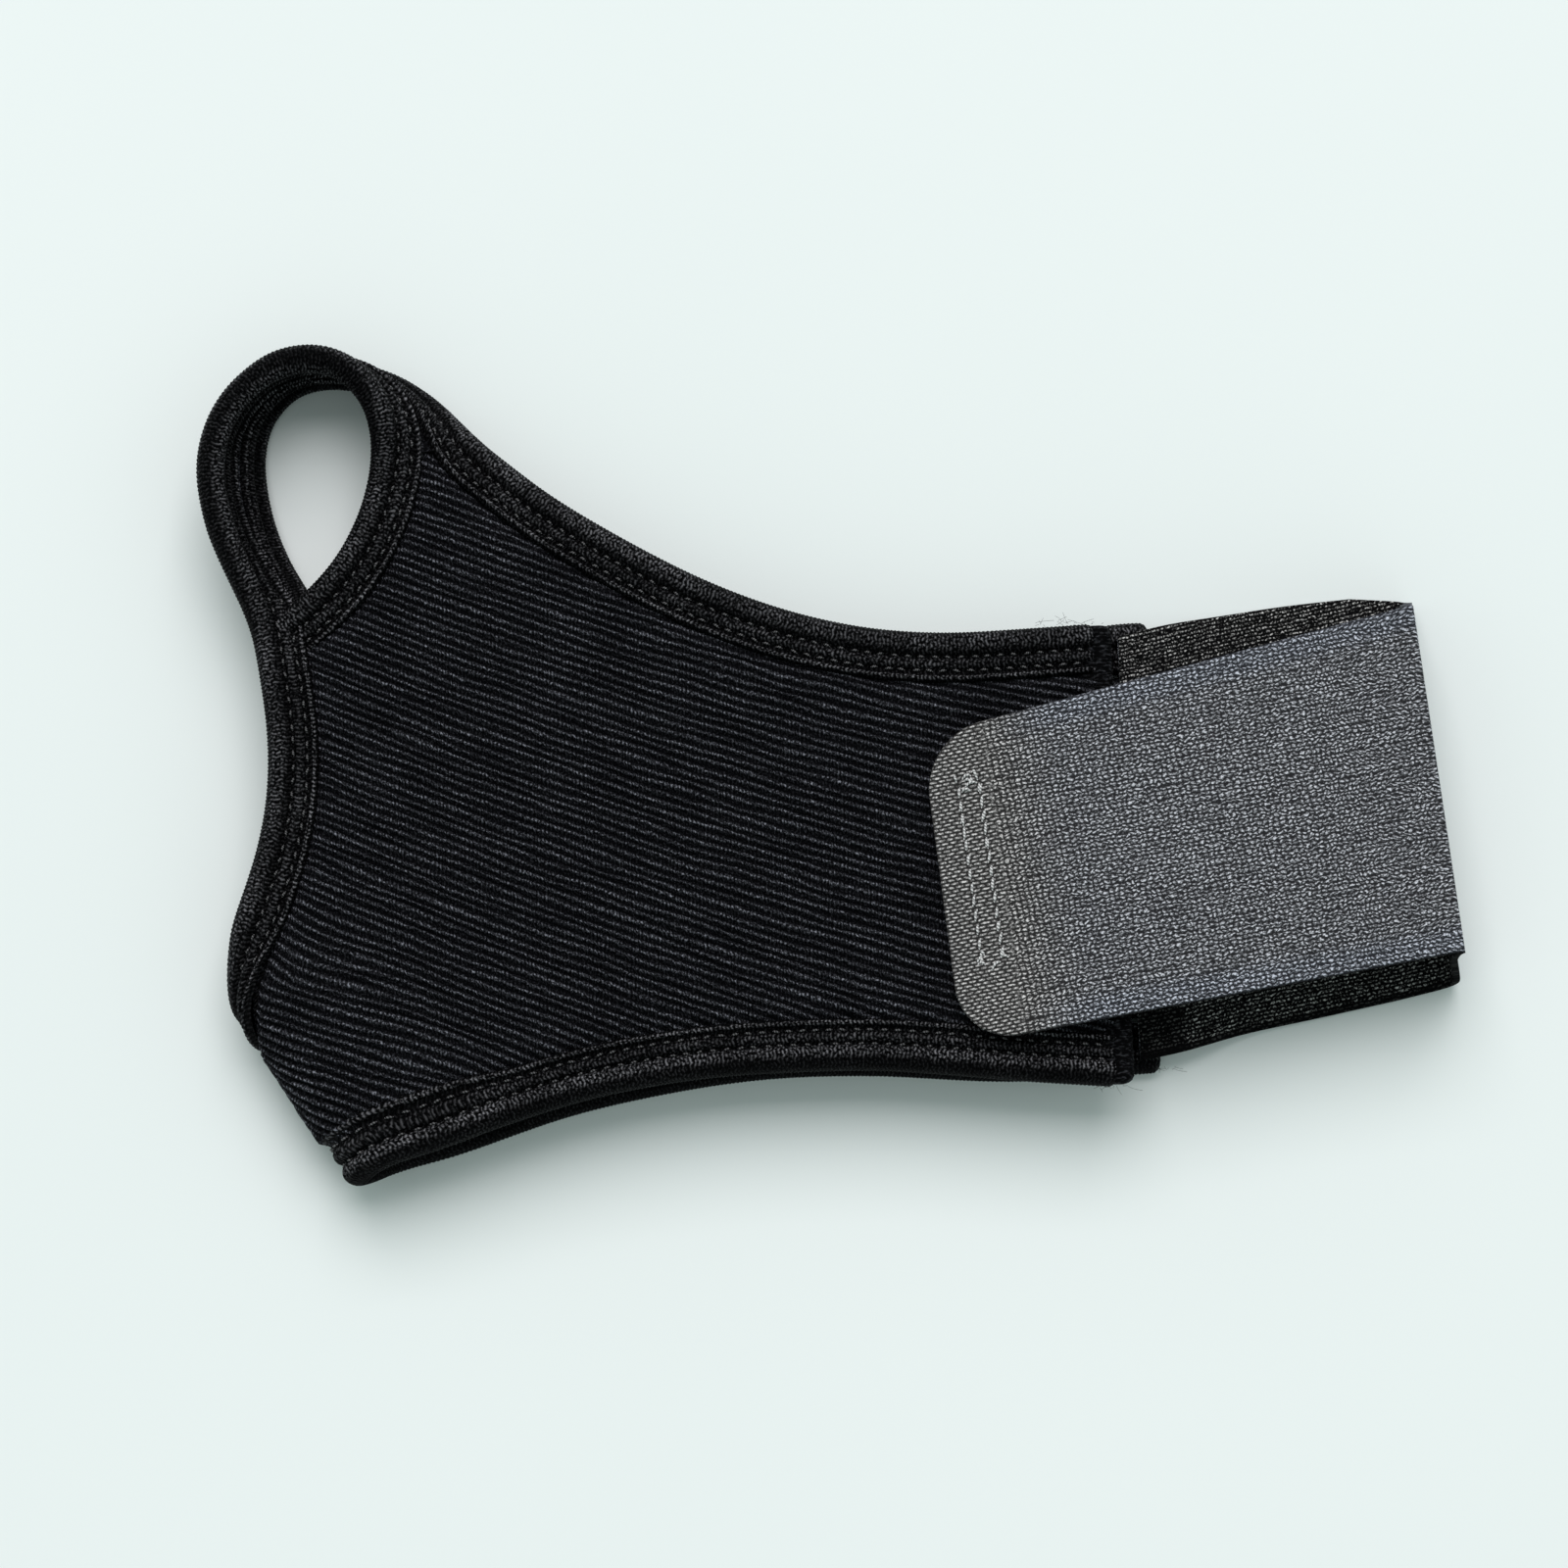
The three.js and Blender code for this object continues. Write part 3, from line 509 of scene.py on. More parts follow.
def knit_look():
    """Rib knit, black, with painted highlights: bright loops along each rib's far side, which faces the
    lamp, fainter ones on its near side.
    """
    look = Look("rib_knit", roughness=0.6, shine=0.02)
    along, rib = look.pattern()
    place = look.place(along, look.times(rib, RIB_RISE))
    stretch = look.place(look.times(along, 0.1), look.times(rib, 0.9))
    wander = look.scaled(look.noise(place, 0.7, 4.0), 0.7, rib)
    wander = look.scaled(look.noise(stretch, 1.3, 0.0), 0.2, wander)
    # Painted highlight: a bright line of loops on each rib's far side, which faces the lamp, and a fainter
    # one on its near side
    upper = look.hump(look.math("SUBTRACT", wander, 0.46), 7.0)
    lower = look.hump(wander, 6.0)
    line = look.scaled(lower, 0.1, upper)
    stray = look.times(look.noise(place, 0.9), 2.0)
    loops = look.hump(look.math("ADD", look.math("DIVIDE", along, RIB_LOOP), stray), 1.2)
    speck = look.between(look.noise(place, 3.0, 1.0), 0.42, 0.6)
    shown = look.between(look.noise(stretch, 1.0), 0.34, 0.62, 0.45, 1.0)
    grain = look.times(loops, look.scaled(speck, 0.92, 0.08))
    lit = look.times(line, shown, grain)
    # Painted highlight: faint specks, brightest on each rib's crest
    body = look.times(look.hump(rib, 1.2), speck, 0.06)
    look.paint(look.mix(look.math("ADD", lit, body), colour(3, 3, 5), colour(136, 138, 148)))
    look.bump(look.scaled(line, 0.4, grain), 0.3)
    return look.material


def tape_look(name, roll):
    """Binding tape, black, with painted highlights: fine zigzag threads that glint on its roll, its band
    and its overlocked cord.
    """
    look = Look(name, roughness=0.55, shine=0.03)
    along, around = look.pattern()
    across = look.math("PINGPONG", around, HALF_ROUND)
    place = look.place(along, around)
    stray = look.times(look.noise(place, 0.6), 0.7)
    zigzag = look.scaled(look.math("PINGPONG", across, 0.8), 0.55, stray)
    thread = look.hump(look.math("ADD", zigzag, look.math("DIVIDE", along, THREAD_PITCH)), 1.6)
    glint = look.between(look.noise(place, 2.0, 1.0), 0.4, 0.64)
    # Painted highlight: glints in random patches along the tape, strongest on the cord, the band and the
    # roll's lamp-facing side
    glint_patches = look.between(look.noise(place, 0.13), 0.4, 0.66, 0.5, 1.0)
    shown = 0.1
    for zone in (CORD_SHINE, BAND_SHINE, roll):
        away = look.away(across, zone.place)
        shine = look.between(away, zone.core, zone.fade, zone.share, 0.0)
        shown = look.math("ADD", shown, shine)
    light = look.times(thread, glint, glint_patches, shown)
    look.paint(look.mix(light, colour(3, 3, 4), colour(136, 136, 141)))
    look.bump(look.scaled(glint, 0.3, thread), 0.25)
    return look.material


def hem_look():
    """Cut end of the knit: black, with a few fine fibres."""
    look = Look("cut_end", roughness=0.8, shine=0.04)
    along, across = look.pattern()
    fibres = look.place(look.times(along, 2.4), look.times(across, 0.9))
    fuzz = look.between(look.noise(fibres, 1.0), 0.46, 0.74)
    look.paint(look.mix(fuzz, colour(2, 2, 3), colour(54, 55, 59)))
    look.bump(fuzz, 0.3)
    return look.material


def thread_look(name, roughness, twist, dark, light, depth):
    """Sewing thread: two twisted plies with a soft sheen."""
    look = Look(name, roughness, shine=0.4)
    along, across = look.pattern()
    ply = look.wave(look.scaled(along, twist, across))
    look.paint(look.mix(ply, dark, light))
    look.bump(ply, depth)
    return look.material


def strap_look():
    """Grey heather strap: light dashes over dark gaps, slanted at the fold and longer at the tip, with
    painted shadow beside the tip's stitches.
    """
    look = Look("strap_outside", roughness=0.8, shine=0.1)
    to_tip, across = look.pattern()
    edge = look.pattern("edge")[0]
    place = look.place(to_tip, across)
    loose = look.between(to_tip, 4.0, 26.0, 1.0, 2.4)
    rows = look.place(look.times(to_tip, 0.35), look.times(across, 1.6))
    along = look.scaled(look.noise(rows, 1.0), loose, to_tip)
    sideways = look.scaled(look.noise(place, 1.0), 1.3, across)
    slant = look.between(to_tip, 58.0, 67.0)
    along = look.scaled(look.math("PINGPONG", across, 3.0), slant, along)
    yarn, chance = look.weave(along, sideways, *STRAP_DASH, 0.08)
    fine = look.weave(along, across, *TIP_DASH)[0]
    at_tip = look.between(to_tip, 8.6, 10.2, 1.0, 0.0)
    yarn = look.scaled(look.math("SUBTRACT", fine, yarn), at_tip, yarn)
    grain = look.between(look.noise(place, 3.2, 1.0), 0.34, 0.66, 0.35, 1.0)
    bright = look.times(yarn, look.scaled(chance, 0.3, 0.7))
    bright = look.between(look.times(bright, grain), 0.02, 0.62)
    # Painted shadow: a dark line beside each row of tip stitches
    begun = look.between(across, *TIP_STITCH_SHADOW.begin)
    sewn = look.times(begun, look.between(across, *TIP_STITCH_SHADOW.end, 1.0, 0.0))
    for row in TIP_SEAM.rows:
        away = look.away(to_tip, row - TIP_STITCH_SHADOW.aside)
        depth = look.between(away, TIP_STITCH_SHADOW.core, TIP_STITCH_SHADOW.fade, TIP_STITCH_SHADOW.dark, 0.0)
        stitch_shadow = look.times(depth, sewn)
        bright = look.times(bright, look.math("SUBTRACT", 1.0, stitch_shadow))
    bright = look.times(bright, look.between(edge, 0.0, 0.3, 0.3, 1.0))
    tip = look.between(to_tip, 8.0, 22.0, 1.0, 0.0)
    plain = look.mix(bright, colour(34, 34, 37), colour(206, 208, 216))
    cool = look.mix(bright, colour(36, 38, 44), colour(209, 215, 230))
    neutral = look.mix(bright, colour(36, 35, 35), colour(215, 213, 213))
    border = look.between(edge, 2.0, 5.0, 0.8, 0.0)
    look.paint(look.mix(tip, look.mix(border, plain, cool), neutral))
    look.bump(bright, 0.3)
    return look.material


def strap_inside_look():
    """Inner face of the strap: charcoal weave with rows of pale dashes, and painted shade, black, along its
    near edge.
    """
    look = Look("strap_inside", roughness=0.8, shine=0.0)
    to_tip, across = look.pattern()
    from_root = look.pattern("edge")[1]
    place = look.place(to_tip, across)
    along = look.scaled(look.noise(place, 0.9), 2.4, to_tip)
    sideways = look.scaled(look.noise(place, 0.8), 0.6, across)
    yarn, chance = look.weave(along, sideways, *INSIDE_DASH)
    grain = look.between(look.noise(place, 3.0, 1.0), 0.36, 0.64, 0.15, 1.0)
    far = look.between(across, 20.0, 40.0, 0.1, 1.0)
    # Painted shade: black along the near edge
    hem = look.between(across, 0.6, 1.8, 0.06, 1.0)
    ragged = look.scaled(look.noise(place, 0.5), 2.4, from_root)
    seam = look.between(look.away(ragged, 7.6), 0.2, 1.1, 0.4, 1.0)
    sewn = look.between(from_root, 5.4, 7.4, look.times(far, 1.3), 1.0)
    bright = look.times(yarn, look.scaled(chance, 0.6, 0.4))
    bright = look.between(look.times(bright, grain), 0.06, 0.66)
    bright = look.times(bright, seam, sewn, hem)
    look.paint(look.mix(bright, colour(12, 12, 13), colour(204, 204, 203)))
    look.bump(bright, 0.34)
    return look.material


def hook_look():
    """Hook tape: rows of small stiff hooks on a dark ground."""
    look = Look("hook_tape", roughness=0.5, shine=0.4)
    along, across = look.pattern()
    hook, chance = look.weave(along, across, *HOOK_DASH)
    look.paint(look.mix(hook, colour(24, 25, 28), colour(92, 94, 100)))
    look.bump(look.scaled(chance, 0.2, hook), 0.3)
    return look.material


def floor_look():
    """Plain pale floor, very slightly clouded."""
    look = Look("pale_floor", roughness=0.9, shine=0.1)
    place = look.node("ShaderNodeNewGeometry").outputs["Position"]
    cloud = look.noise(place, 6.0)
    look.paint(look.mix(cloud, colour(232, 239, 239), colour(237, 243, 243)))
    return look.material


KNIT = knit_look()
# Two copies of the tape look: on each, the roll's painted highlight sits where that roll faces the lamp
TAPE = tape_look("edge_tape", ROLL_SHINE)
LOW_TAPE = tape_look("low_tape", LOW_ROLL_SHINE)
CUT_END = hem_look()
THREAD = thread_look("sewing_thread", 0.45, 2.2, colour(22, 22, 24), colour(104, 104, 106), 0.08)
TIP_THREAD = thread_look("tip_thread", 0.5, 1.8, colour(134, 134, 135), colour(240, 240, 241), 0.1)
STRAP_OUTSIDE = strap_look()
STRAP_INSIDE = strap_inside_look()
HOOKS = hook_look()


# Lines of the wrap

fold_along = unit(np.subtract(FOLD_UPPER, FOLD_LOWER))
fold_out = np.array([-fold_along[1], fold_along[0]])
top_flat = smooth_line(TOP_EDGE)[:, :2]
hole_flat = smooth_line(HOLE_EDGE)[:, :2]
hand_flat = smooth_line(HAND_EDGE)[:, :2]
bottom_flat = smooth_line(BOTTOM_EDGE)[:, :2]
loop_near = spaced(smooth_line(LOOP_NEAR_RIM), LOOP_ROWS)
loop_far = spaced(smooth_line(LOOP_FAR_RIM), LOOP_ROWS)


# Knit

def rib_drop(x, rib_y):
    """How far a rib has come down at x."""
    along = x - RIB_START_X
    bend = RIB_BEND.at_zero + RIB_BEND.per_mm * rib_y
    return RIB_SLOPE * along - bend * along**2


def inside(points, outline):
    """Which points lie inside a closed outline in plan."""
    x, y = points.T
    found = np.zeros(len(points), bool)
    for (ax, ay), (bx, by) in zip(outline, np.roll(outline, -1, axis=0)):
        if ay != by:
            crosses = (ay > y) != (by > y)
            found ^= crosses & (x < (bx - ax) * (y - ay) / (by - ay) + ax)
    return found


def panel_outline():
    edges = (top_flat[::4], hole_flat[::4], hand_flat[::4], bottom_flat[::-4])
    return np.vstack([[FRONT_END_UPPER], *edges, [FRONT_END_LOWER]])


def knit_grid(step, lines):
    """A flat grid along the ribs: x, y and the rib's number."""
    columns = np.arange(*KNIT_SPAN.x, step)
    ribs = np.arange(*KNIT_SPAN.ribs, 1 / lines)
    x, rib = np.meshgrid(columns, ribs, indexing="ij")
    rib_y = LOWEST_RIB_Y + RIB_RISE * rib
    stray = RIB_STRAY.out * ripple(x / RIB_STRAY.along, rib / RIB_STRAY.ribs, 1)
    return x, rib_y - rib_drop(x, rib_y) + stray, rib


def knit_sheet(name, step, lines, height_at, replaces=()):
    """A face of the front panel, out to under the tapes, which pinch it along its edges."""
    x, y, rib = knit_grid(step, lines)
    flat = np.column_stack([x.ravel(), y.ravel()])
    edges = [edge[::4] for edge in (top_flat, hole_flat, hand_flat, bottom_flat)]
    to_edge = distance_to(flat, np.vstack(edges))
    kept = inside(flat, panel_outline()) & (to_edge > KNIT_UNDER_TAPE)
    faces = grid_faces(*x.shape)
    faces = faces[kept[faces].all(axis=1)][:, ::-1]
    used, numbers = np.unique(faces, return_inverse=True)
    along = x.ravel() * math.hypot(1, RIB_SLOPE)
    pinch = PINCH.least + (1 - PINCH.least) * smooth_step((to_edge - PINCH.start) / PINCH.over)
    height = height_at(along, rib.ravel()) * pinch
    uv = np.column_stack([along, rib.ravel()])[used]
    points = on_wrap(flat, height)[used]
    return add_piece(name, points, numbers.reshape(-1, 4), uv, KNIT, "ribbed_knit", replaces)


def outer_rib(along, rib):
    """Height of the ribs: round crests, narrow grooves and an uneven pull."""
    crest = np.abs(np.sin(math.pi * rib)) ** RIB_POWER
    uneven = 1 + RIB_PULL.share * ripple(along / RIB_PULL.along, rib, 2)
    return RIB_GROOVE + (RIB_CREST - RIB_GROOVE) * crest * uneven


def inner_rib(along, rib):
    return INNER_FACE.at - INNER_FACE.rib * np.abs(np.sin(math.pi * rib))


def band_strip(name, lower, upper, form, replaces=()):
    """A closed strip of knit between two edges, with ribs along both faces."""
    count = form.ribs * RIB_LINES + 1
    lines = np.linspace(form.under, 1 - form.under, count)
    relief = np.abs(np.sin(np.linspace(0, form.ribs * math.pi, count)))
    middle = lower[:, None] + (upper - lower)[:, None] * lines[:, None]
    along = np.gradient(middle, axis=0)
    across = np.gradient(middle, axis=1)
    normal = unit(np.cross(along, across))
    outer = middle + normal * (form.outer + form.rib * relief)[:, None]
    inner = middle - normal * (form.inner + form.inner_rib * relief)[:, None]
    distance = lengths_along(middle[:, count // 2])
    uv = pairs(distance[:, None], np.linspace(0, form.ribs, count))
    return add_piece(name, *closed_slab(outer, inner, uv), KNIT, "ribbed_knit", replaces)


def knit_pieces():
    front = knit_sheet("knit_front", RIB_STEP, RIB_LINES, outer_rib, ["knit_body"])
    inner = knit_sheet("knit_front_inside", INNER_FACE.step, INNER_FACE.lines, inner_rib)
    lower = spaced(smooth_line(BACK_LOWER_EDGE, BACK_HEIGHT), BACK_ROWS)
    upper = spaced(smooth_line(BACK_UPPER_EDGE, BACK_HEIGHT), BACK_ROWS)
    back = band_strip("knit_back", upper, lower, BACK_STRIP)
    loop = band_strip("thumb_loop_strip", loop_near, loop_far, LOOP_STRIP, ["thumb_loop"])
    return front, inner, back, loop


# Edge tapes

def tape_line(points, inward, reach):
    """A tape's stations at even spacing: middle of its roll, way into the wall, wall normal, reach."""
    keep = np.concatenate([[True], norm(np.diff(points, axis=0)) > 1e-6])
    points, inward, reach = points[keep], inward[keep], reach[keep]
    at = lengths_along(points)
    places = np.arange(0, at[-1], THREAD_PITCH / THREAD_ROWS)
    middle = sample(points, at, places)
    inward = sample(unit(inward), at, places)
    reach = np.interp(places, at, reach)
    window = np.ones(TAPE_WINDOW) / TAPE_WINDOW
    pad = TAPE_WINDOW // 2
    for axis in range(3):
        wide = np.pad(inward[:, axis], pad, mode="edge")
        inward[:, axis] = np.convolve(wide, window, "valid")
        wide = np.pad(middle[:, axis], pad, mode="reflect", reflect_type="odd")
        middle[:, axis] = np.convolve(wide, window, "valid")
    tangent = unit(np.gradient(middle, axis=0))
    inward = unit(inward - tangent * (inward * tangent).sum(axis=1, keepdims=True))
    normal = np.cross(tangent, inward)
    if normal[0, 2] < 0:
        normal = -normal
    return Named(at=places, middle=middle, inward=inward, normal=normal, reach=reach)


def front_line(flat, side):
    """A front edge on the wrap, and the way from it into the panel."""
    way = np.gradient(flat, axis=0)
    across = side * unit(np.column_stack([-way[:, 1], way[:, 0]]))
    points = on_wrap(flat)
    return points, unit(on_wrap(flat + across) - points)


def back_line(rows, side):
    """A back edge, and the way from it into the band."""
    points = smooth_line(rows, BACK_HEIGHT)
    way = np.gradient(points, axis=0)
    return points, side * unit(np.cross((0, 0, 1), way))


def shared_reach(points, others):
    """Reach of a tape that leaves room for another on the far side of a narrow strip."""
    return np.minimum(TAPE_REACH, distance_to(points, others) / 2 + TAPE_OVERLAP)


def hand_tape():
    """From the foot of the thumb hole, up its side, round the loop, down the hand edge and under."""
    hole, hole_in = front_line(hole_flat[::-1], -1)
    hole[:, 2] -= HOLE_FOOT.drop * smooth_step((HOLE_FOOT.from_x - hole[:, 0]) / HOLE_FOOT.over)
    hand, hand_in = front_line(hand_flat, 1)
    back, back_in = back_line(BACK_UPPER_EDGE, -1)
    loop_in = unit(loop_far - loop_near)
    points = np.vstack([hole, loop_near[1:], hand[HAND_SKIP:], back[1:]])
    inward = np.vstack([hole_in, loop_in[1:], hand_in[HAND_SKIP:], back_in[1:]])
    others = np.vstack([on_wrap(top_flat[::6]), loop_far[:-FOOT_SKIP:4]])
    return tape_line(points, inward, shared_reach(points, others))


def top_tape():
    """From the free end along the top edge, then round the loop's far rim."""
    top, top_in = front_line(top_flat, 1)
    points = np.vstack([top, loop_far[1:]])
    inward = np.vstack([top_in, unit(loop_near - loop_far)[1:]])
    others = np.vstack([on_wrap(hole_flat[::6]), loop_near[::4]])
    return tape_line(points, inward, shared_reach(points, others))


def bottom_tape():
    """From the free end along the bottom edge, round the fold and along the back band."""
    front, front_in = front_line(bottom_flat, -1)
    back, back_in = back_line(BACK_LOWER_EDGE, 1)
    points = np.vstack([front, back[1:]])
    inward = np.vstack([front_in, back_in[1:]])
    to_fold = norm(points[:, :2] - FOLD_LOWER)
    near = smooth_step((LOW_CORNER.start - to_fold) / LOW_CORNER.over)
    return tape_line(points, inward, TAPE_REACH * (1 + LOW_CORNER.wider * near))


def end_hem():
    """Along the cut end of the front panel."""
    flat = np.linspace(FRONT_END_UPPER, FRONT_END_LOWER, HEM_ROWS)
    points, inward = front_line(flat, -1)
    return tape_line(points, inward, np.full(len(points), TAPE_REACH))


def tape_profile(face):
    """Section of a tape from its upper lip round the roll to its lower lip: inward, out."""
    turn = np.radians(np.linspace(ROLL_TURN.start, ROLL_TURN.end, ROLL_TURN.points))
    roll = np.column_stack([ROLL_RADIUS * np.cos(turn), ROLL_RADIUS * np.sin(turn)])
    roll[:, 1] *= np.where(roll[:, 1] > 0, ROLL_RISE, 1)
    upper = np.array(face[::-1])
    lower = np.array(face) * (1, -1)
    return np.vstack([upper, roll, lower])


def inward_place(inward, reach):
    """Where a point of the section lies when the strip is narrower than a whole tape."""
    squeeze = (reach - ROLL_RADIUS) / (TAPE_REACH - ROLL_RADIUS)
    return np.where(inward > ROLL_RADIUS, ROLL_RADIUS + (inward - ROLL_RADIUS) * squeeze, inward)


def tape_piece(name, tape, face, seed, replaces, swell=1.0, material=TAPE):
    """A tape swept along its line, with threads round it and rounded ends."""
    profile = tape_profile(face) * swell
    at = tape.at[:, None]
    place = lengths_along(profile)
    inward = inward_place(profile[:, 0], tape.reach[:, None])
    relief = TAPE_RELIEF
    stray = ripple(at / relief.stray, place / relief.stray, seed)
    thread = relief.thread * np.sin(2 * math.pi * at / THREAD_PITCH + 2 * stray)
    uneven = relief.uneven * ripple(at / relief.along, place / relief.around, seed + 1)
    out = profile[:, 1] * (1 + (thread + uneven) / ROLL_RADIUS)
    inward = np.where(inward < ROLL_RADIUS, inward * (1 + thread / ROLL_RADIUS), inward)
    from_end = np.minimum(at, at[-1] - at) / TAPE_END
    closing = np.sqrt(1 - np.clip(1 - from_end, 0, 0.999) ** 2)
    out = out * closing
    inward = np.where(inward < 0, inward * closing, inward)
    points = tape.middle[:, None] + tape.inward[:, None] * inward[..., None]
    points += tape.normal[:, None] * out[..., None]
    points[..., 2] = np.maximum(points[..., 2], FLOOR_GAP)
    faces = grid_faces(len(points), len(profile))
    return add_piece(name, points, faces, pairs(at, place), material, "edge_tape", replaces)


def tubes(center, side, up, thick):
    """Thin round tubes, each along its own row of middles: points, faces and pattern coordinates."""
    turn = np.linspace(0, 2 * math.pi, TUBE_SIDES, endpoint=False)
    count, rows = center.shape[:2]
    thick = np.broadcast_to(thick, (count, rows))[..., None]
    sideways = side[..., None, :] * (thick * np.cos(turn))[..., None]
    upward = up[..., None, :] * (thick * np.sin(turn))[..., None]
    rings = center[..., None, :] + sideways + upward
    one = grid_faces(rows, TUBE_SIDES, closed=True)
    faces = (one[None] + np.arange(count)[:, None, None] * rows * TUBE_SIDES).reshape(-1, 4)
    along = np.cumsum(norm(np.diff(center, axis=1, prepend=center[:, :1])), axis=1)
    uv = pairs(along[..., None], turn / (2 * math.pi))
    return rings, faces, uv


def stitch_piece(name, tape, seed):
    """Rows of stitches in the grooves on both faces of a tape, but not inside the thumb loop."""
    random = np.random.default_rng(seed)
    starts = np.arange(STITCH.first, tape.at[-1] - STITCH.last, STITCH.pitch)
    share = np.linspace(0, 1, STITCH.points)
    arch = np.sin(math.pi * share)
    lift = (STITCH.lift + STITCH.arch * arch)[:, None]
    centers, sides, ups = [], [], []
    for row in STITCH.rows:
        for face in (1, -1):
            begin = starts + random.uniform(-STITCH.stray, STITCH.stray, len(starts)) + row / 3
            places = begin[:, None] + share * STITCH.length
            middle, way, normal = (
                sample(values, tape.at, places.ravel()).reshape(*places.shape, 3)
                for values in (tape.middle, tape.inward, tape.normal)
            )
            reach = np.interp(places, tape.at, tape.reach)
            lean = random.uniform(-STITCH.lean, STITCH.lean, (len(starts), 1)) * (share * 2 - 1)
            inward = inward_place(np.full(places.shape, row), reach) + lean
            up = normal * face
            center = middle + way * inward[..., None] + up * lift
            shown = np.abs(normal[:, 0, 2]) > (LEVEL_WALL if face < 0 else 0)
            centers.append(center[shown])
            sides.append(way[shown])
            ups.append(up[shown])
    center, side, up = (np.concatenate(parts) for parts in (centers, sides, ups))
    thick = STITCH.thin + STITCH.swell * arch
    return add_piece(name, *tubes(center, side, up, thick), THREAD, "edge_tape")


def stray_fibres():
    """Loose fibres at the cut ends of the front panel and of the back band."""
    random = np.random.default_rng(41)
    share = np.linspace(0, 1, FIBRE.points)
    centers = []
    for middle, spread, away, count in FIBRE_TUFTS:
        start = middle + random.normal(0, 0.6, (count, 3)) * spread
        way = random.normal(0, 1, (count, 3)) * (1, 0.4, 0.35) + (0.3, 0.8 * away, 0.1)
        bend = random.normal(0, 1.3, (count, 3)) * (1, 0.7, 0.4)
        length = random.uniform(*FIBRE.length, (count, 1, 1))
        run = way[:, None] * share[:, None] + bend[:, None] * share[:, None] ** 2
        centers.append(start[:, None] + length / 2 * run)
    center = np.concatenate(centers)
    center[..., 2] = np.maximum(center[..., 2], FIBRE.lowest)
    tangent = unit(np.gradient(center, axis=1))
    side = unit(np.cross(tangent, (0.3, 0.2, 1)))
    up = np.cross(tangent, side)
    return add_piece("stray_fibres", *tubes(center, side, up, FIBRE.radius), THREAD, "edge_tape")


def tape_pieces():
    hand = hand_tape()
    top = top_tape()
    bottom = bottom_tape()
    hem = end_hem()
    return [
        tape_piece("hand_and_hole_tape", hand, TAPE_FACE, 11, ["thumb_hole_tape", "hand_edge_tape"]),
        tape_piece("top_tape", top, TAPE_FACE, 13, ["top_edge_tape"]),
        tape_piece("bottom_tape", bottom, TAPE_FACE, 15, ["bottom_edge_tape"], material=LOW_TAPE),
        tape_piece("end_hem", hem, HEM_FACE, 17, ["front_end_hem"], HEM_SWELL, CUT_END),
        stitch_piece("hand_and_hole_stitches", hand, 21),
        stitch_piece("top_stitches", top, 22),
        stitch_piece("bottom_stitches", bottom, 23),
        stray_fibres(),
    ]


# Strap

def fold_swing(section, share, edge):
    """How far one edge of the strap goes out round its fold, drifting sideways as it does."""
    at_foot, at_lip = FOLD_DRIFT[edge]
    drift = at_foot + (at_lip - at_foot) * share
    out = section[:, :1]
    return np.hstack([out, out * drift, np.zeros_like(out)])


def strap_edge(edge, first, from_tip):
    """One edge of the strap from its sewn end to its tip, as if the tip were square."""
    run = spaced(smooth_line([(*row[first : first + 2], row[4]) for row in STRAP_RUN]), STRAP_ROWS.run)
    run[:, 2] = np.maximum(run[:, 2], STRAP_HALF)
    fold = np.array([*FLAP_FOLD[edge], FLAP_HEIGHT])
    tip = np.array([*FLAP_TIP[edge], FLAP_HEIGHT])
    section = spaced(smooth_line(STRAP_FOLD), STRAP_ROWS.fold + 2)[1:-1]
    share = section[:, 1:2] / STRAP_FOLD[-1][1]
    bend = run[-1] + (fold - run[-1]) * share + fold_swing(section, share, edge)
    flap = tip + (fold - tip) * from_tip[:, None]
    return np.vstack([run, bend, flap])


def strap_rows():
    """Far and near edge of the strap, row by row to its tip, and how far the round tip draws them in."""
    length = norm(np.subtract(FLAP_FOLD["far"], FLAP_TIP["far"]))
    curl = np.radians(np.linspace(0, 90, STRAP_ROWS.tip))
    straight = np.linspace(length, TIP_RADIUS, STRAP_ROWS.flap + 1)[:-1]
    from_tip = np.concatenate([straight, TIP_RADIUS * (1 - np.sin(curl))]) / length
    far = strap_edge("far", 0, from_tip)
    near = strap_edge("near", 2, from_tip)
    inset = np.zeros(len(far))
    inset[-STRAP_ROWS.tip :] = TIP_RADIUS * (1 - np.cos(curl))
    across = unit(near - far) * inset[:, None]
    return far + across, near - across, inset


def strap_form():
    """The strap as a grid: middle, normal, distance to its tip, and distance across it."""
    far, near, inset = strap_rows()
    share = np.linspace(0, 1, STRAP_COLUMNS)
    middle = near[:, None] + (far - near)[:, None] * share[:, None]
    distance = lengths_along((far + near) / 2)
    to_tip = distance[-1] - distance
    local = norm(far - near)
    across = inset[:, None] + local[:, None] * share
    flap = smooth_step((FLAP_WAVE.from_tip - to_tip) / FLAP_WAVE.over)[:, None]
    wave = FLAP_WAVE.rise * ripple(to_tip[:, None] / FLAP_WAVE.along, across / FLAP_WAVE.across, 31)
    sink = TIP_SINK.depth * smooth_step((TIP_SINK.over - to_tip) / TIP_SINK.over)[:, None]
    begun = smooth_step(across - TIP_SEAM.start + TIP_DENT.fade)
    sewn = begun * smooth_step(TIP_SEAM.end + TIP_DENT.fade - across)
    dent = sum(np.exp(-(((to_tip - row) / TIP_DENT.half) ** 2)) for row in TIP_SEAM.rows)
    middle[..., 2] += wave * flap - sink - TIP_DENT.depth * dent[:, None] * sewn
    normal = unit(np.cross(np.gradient(middle, axis=1), np.gradient(middle, axis=0)))
    return Named(
        middle=middle, normal=normal, to_tip=to_tip, across=across, inset=inset, local=local, share=share,
    )


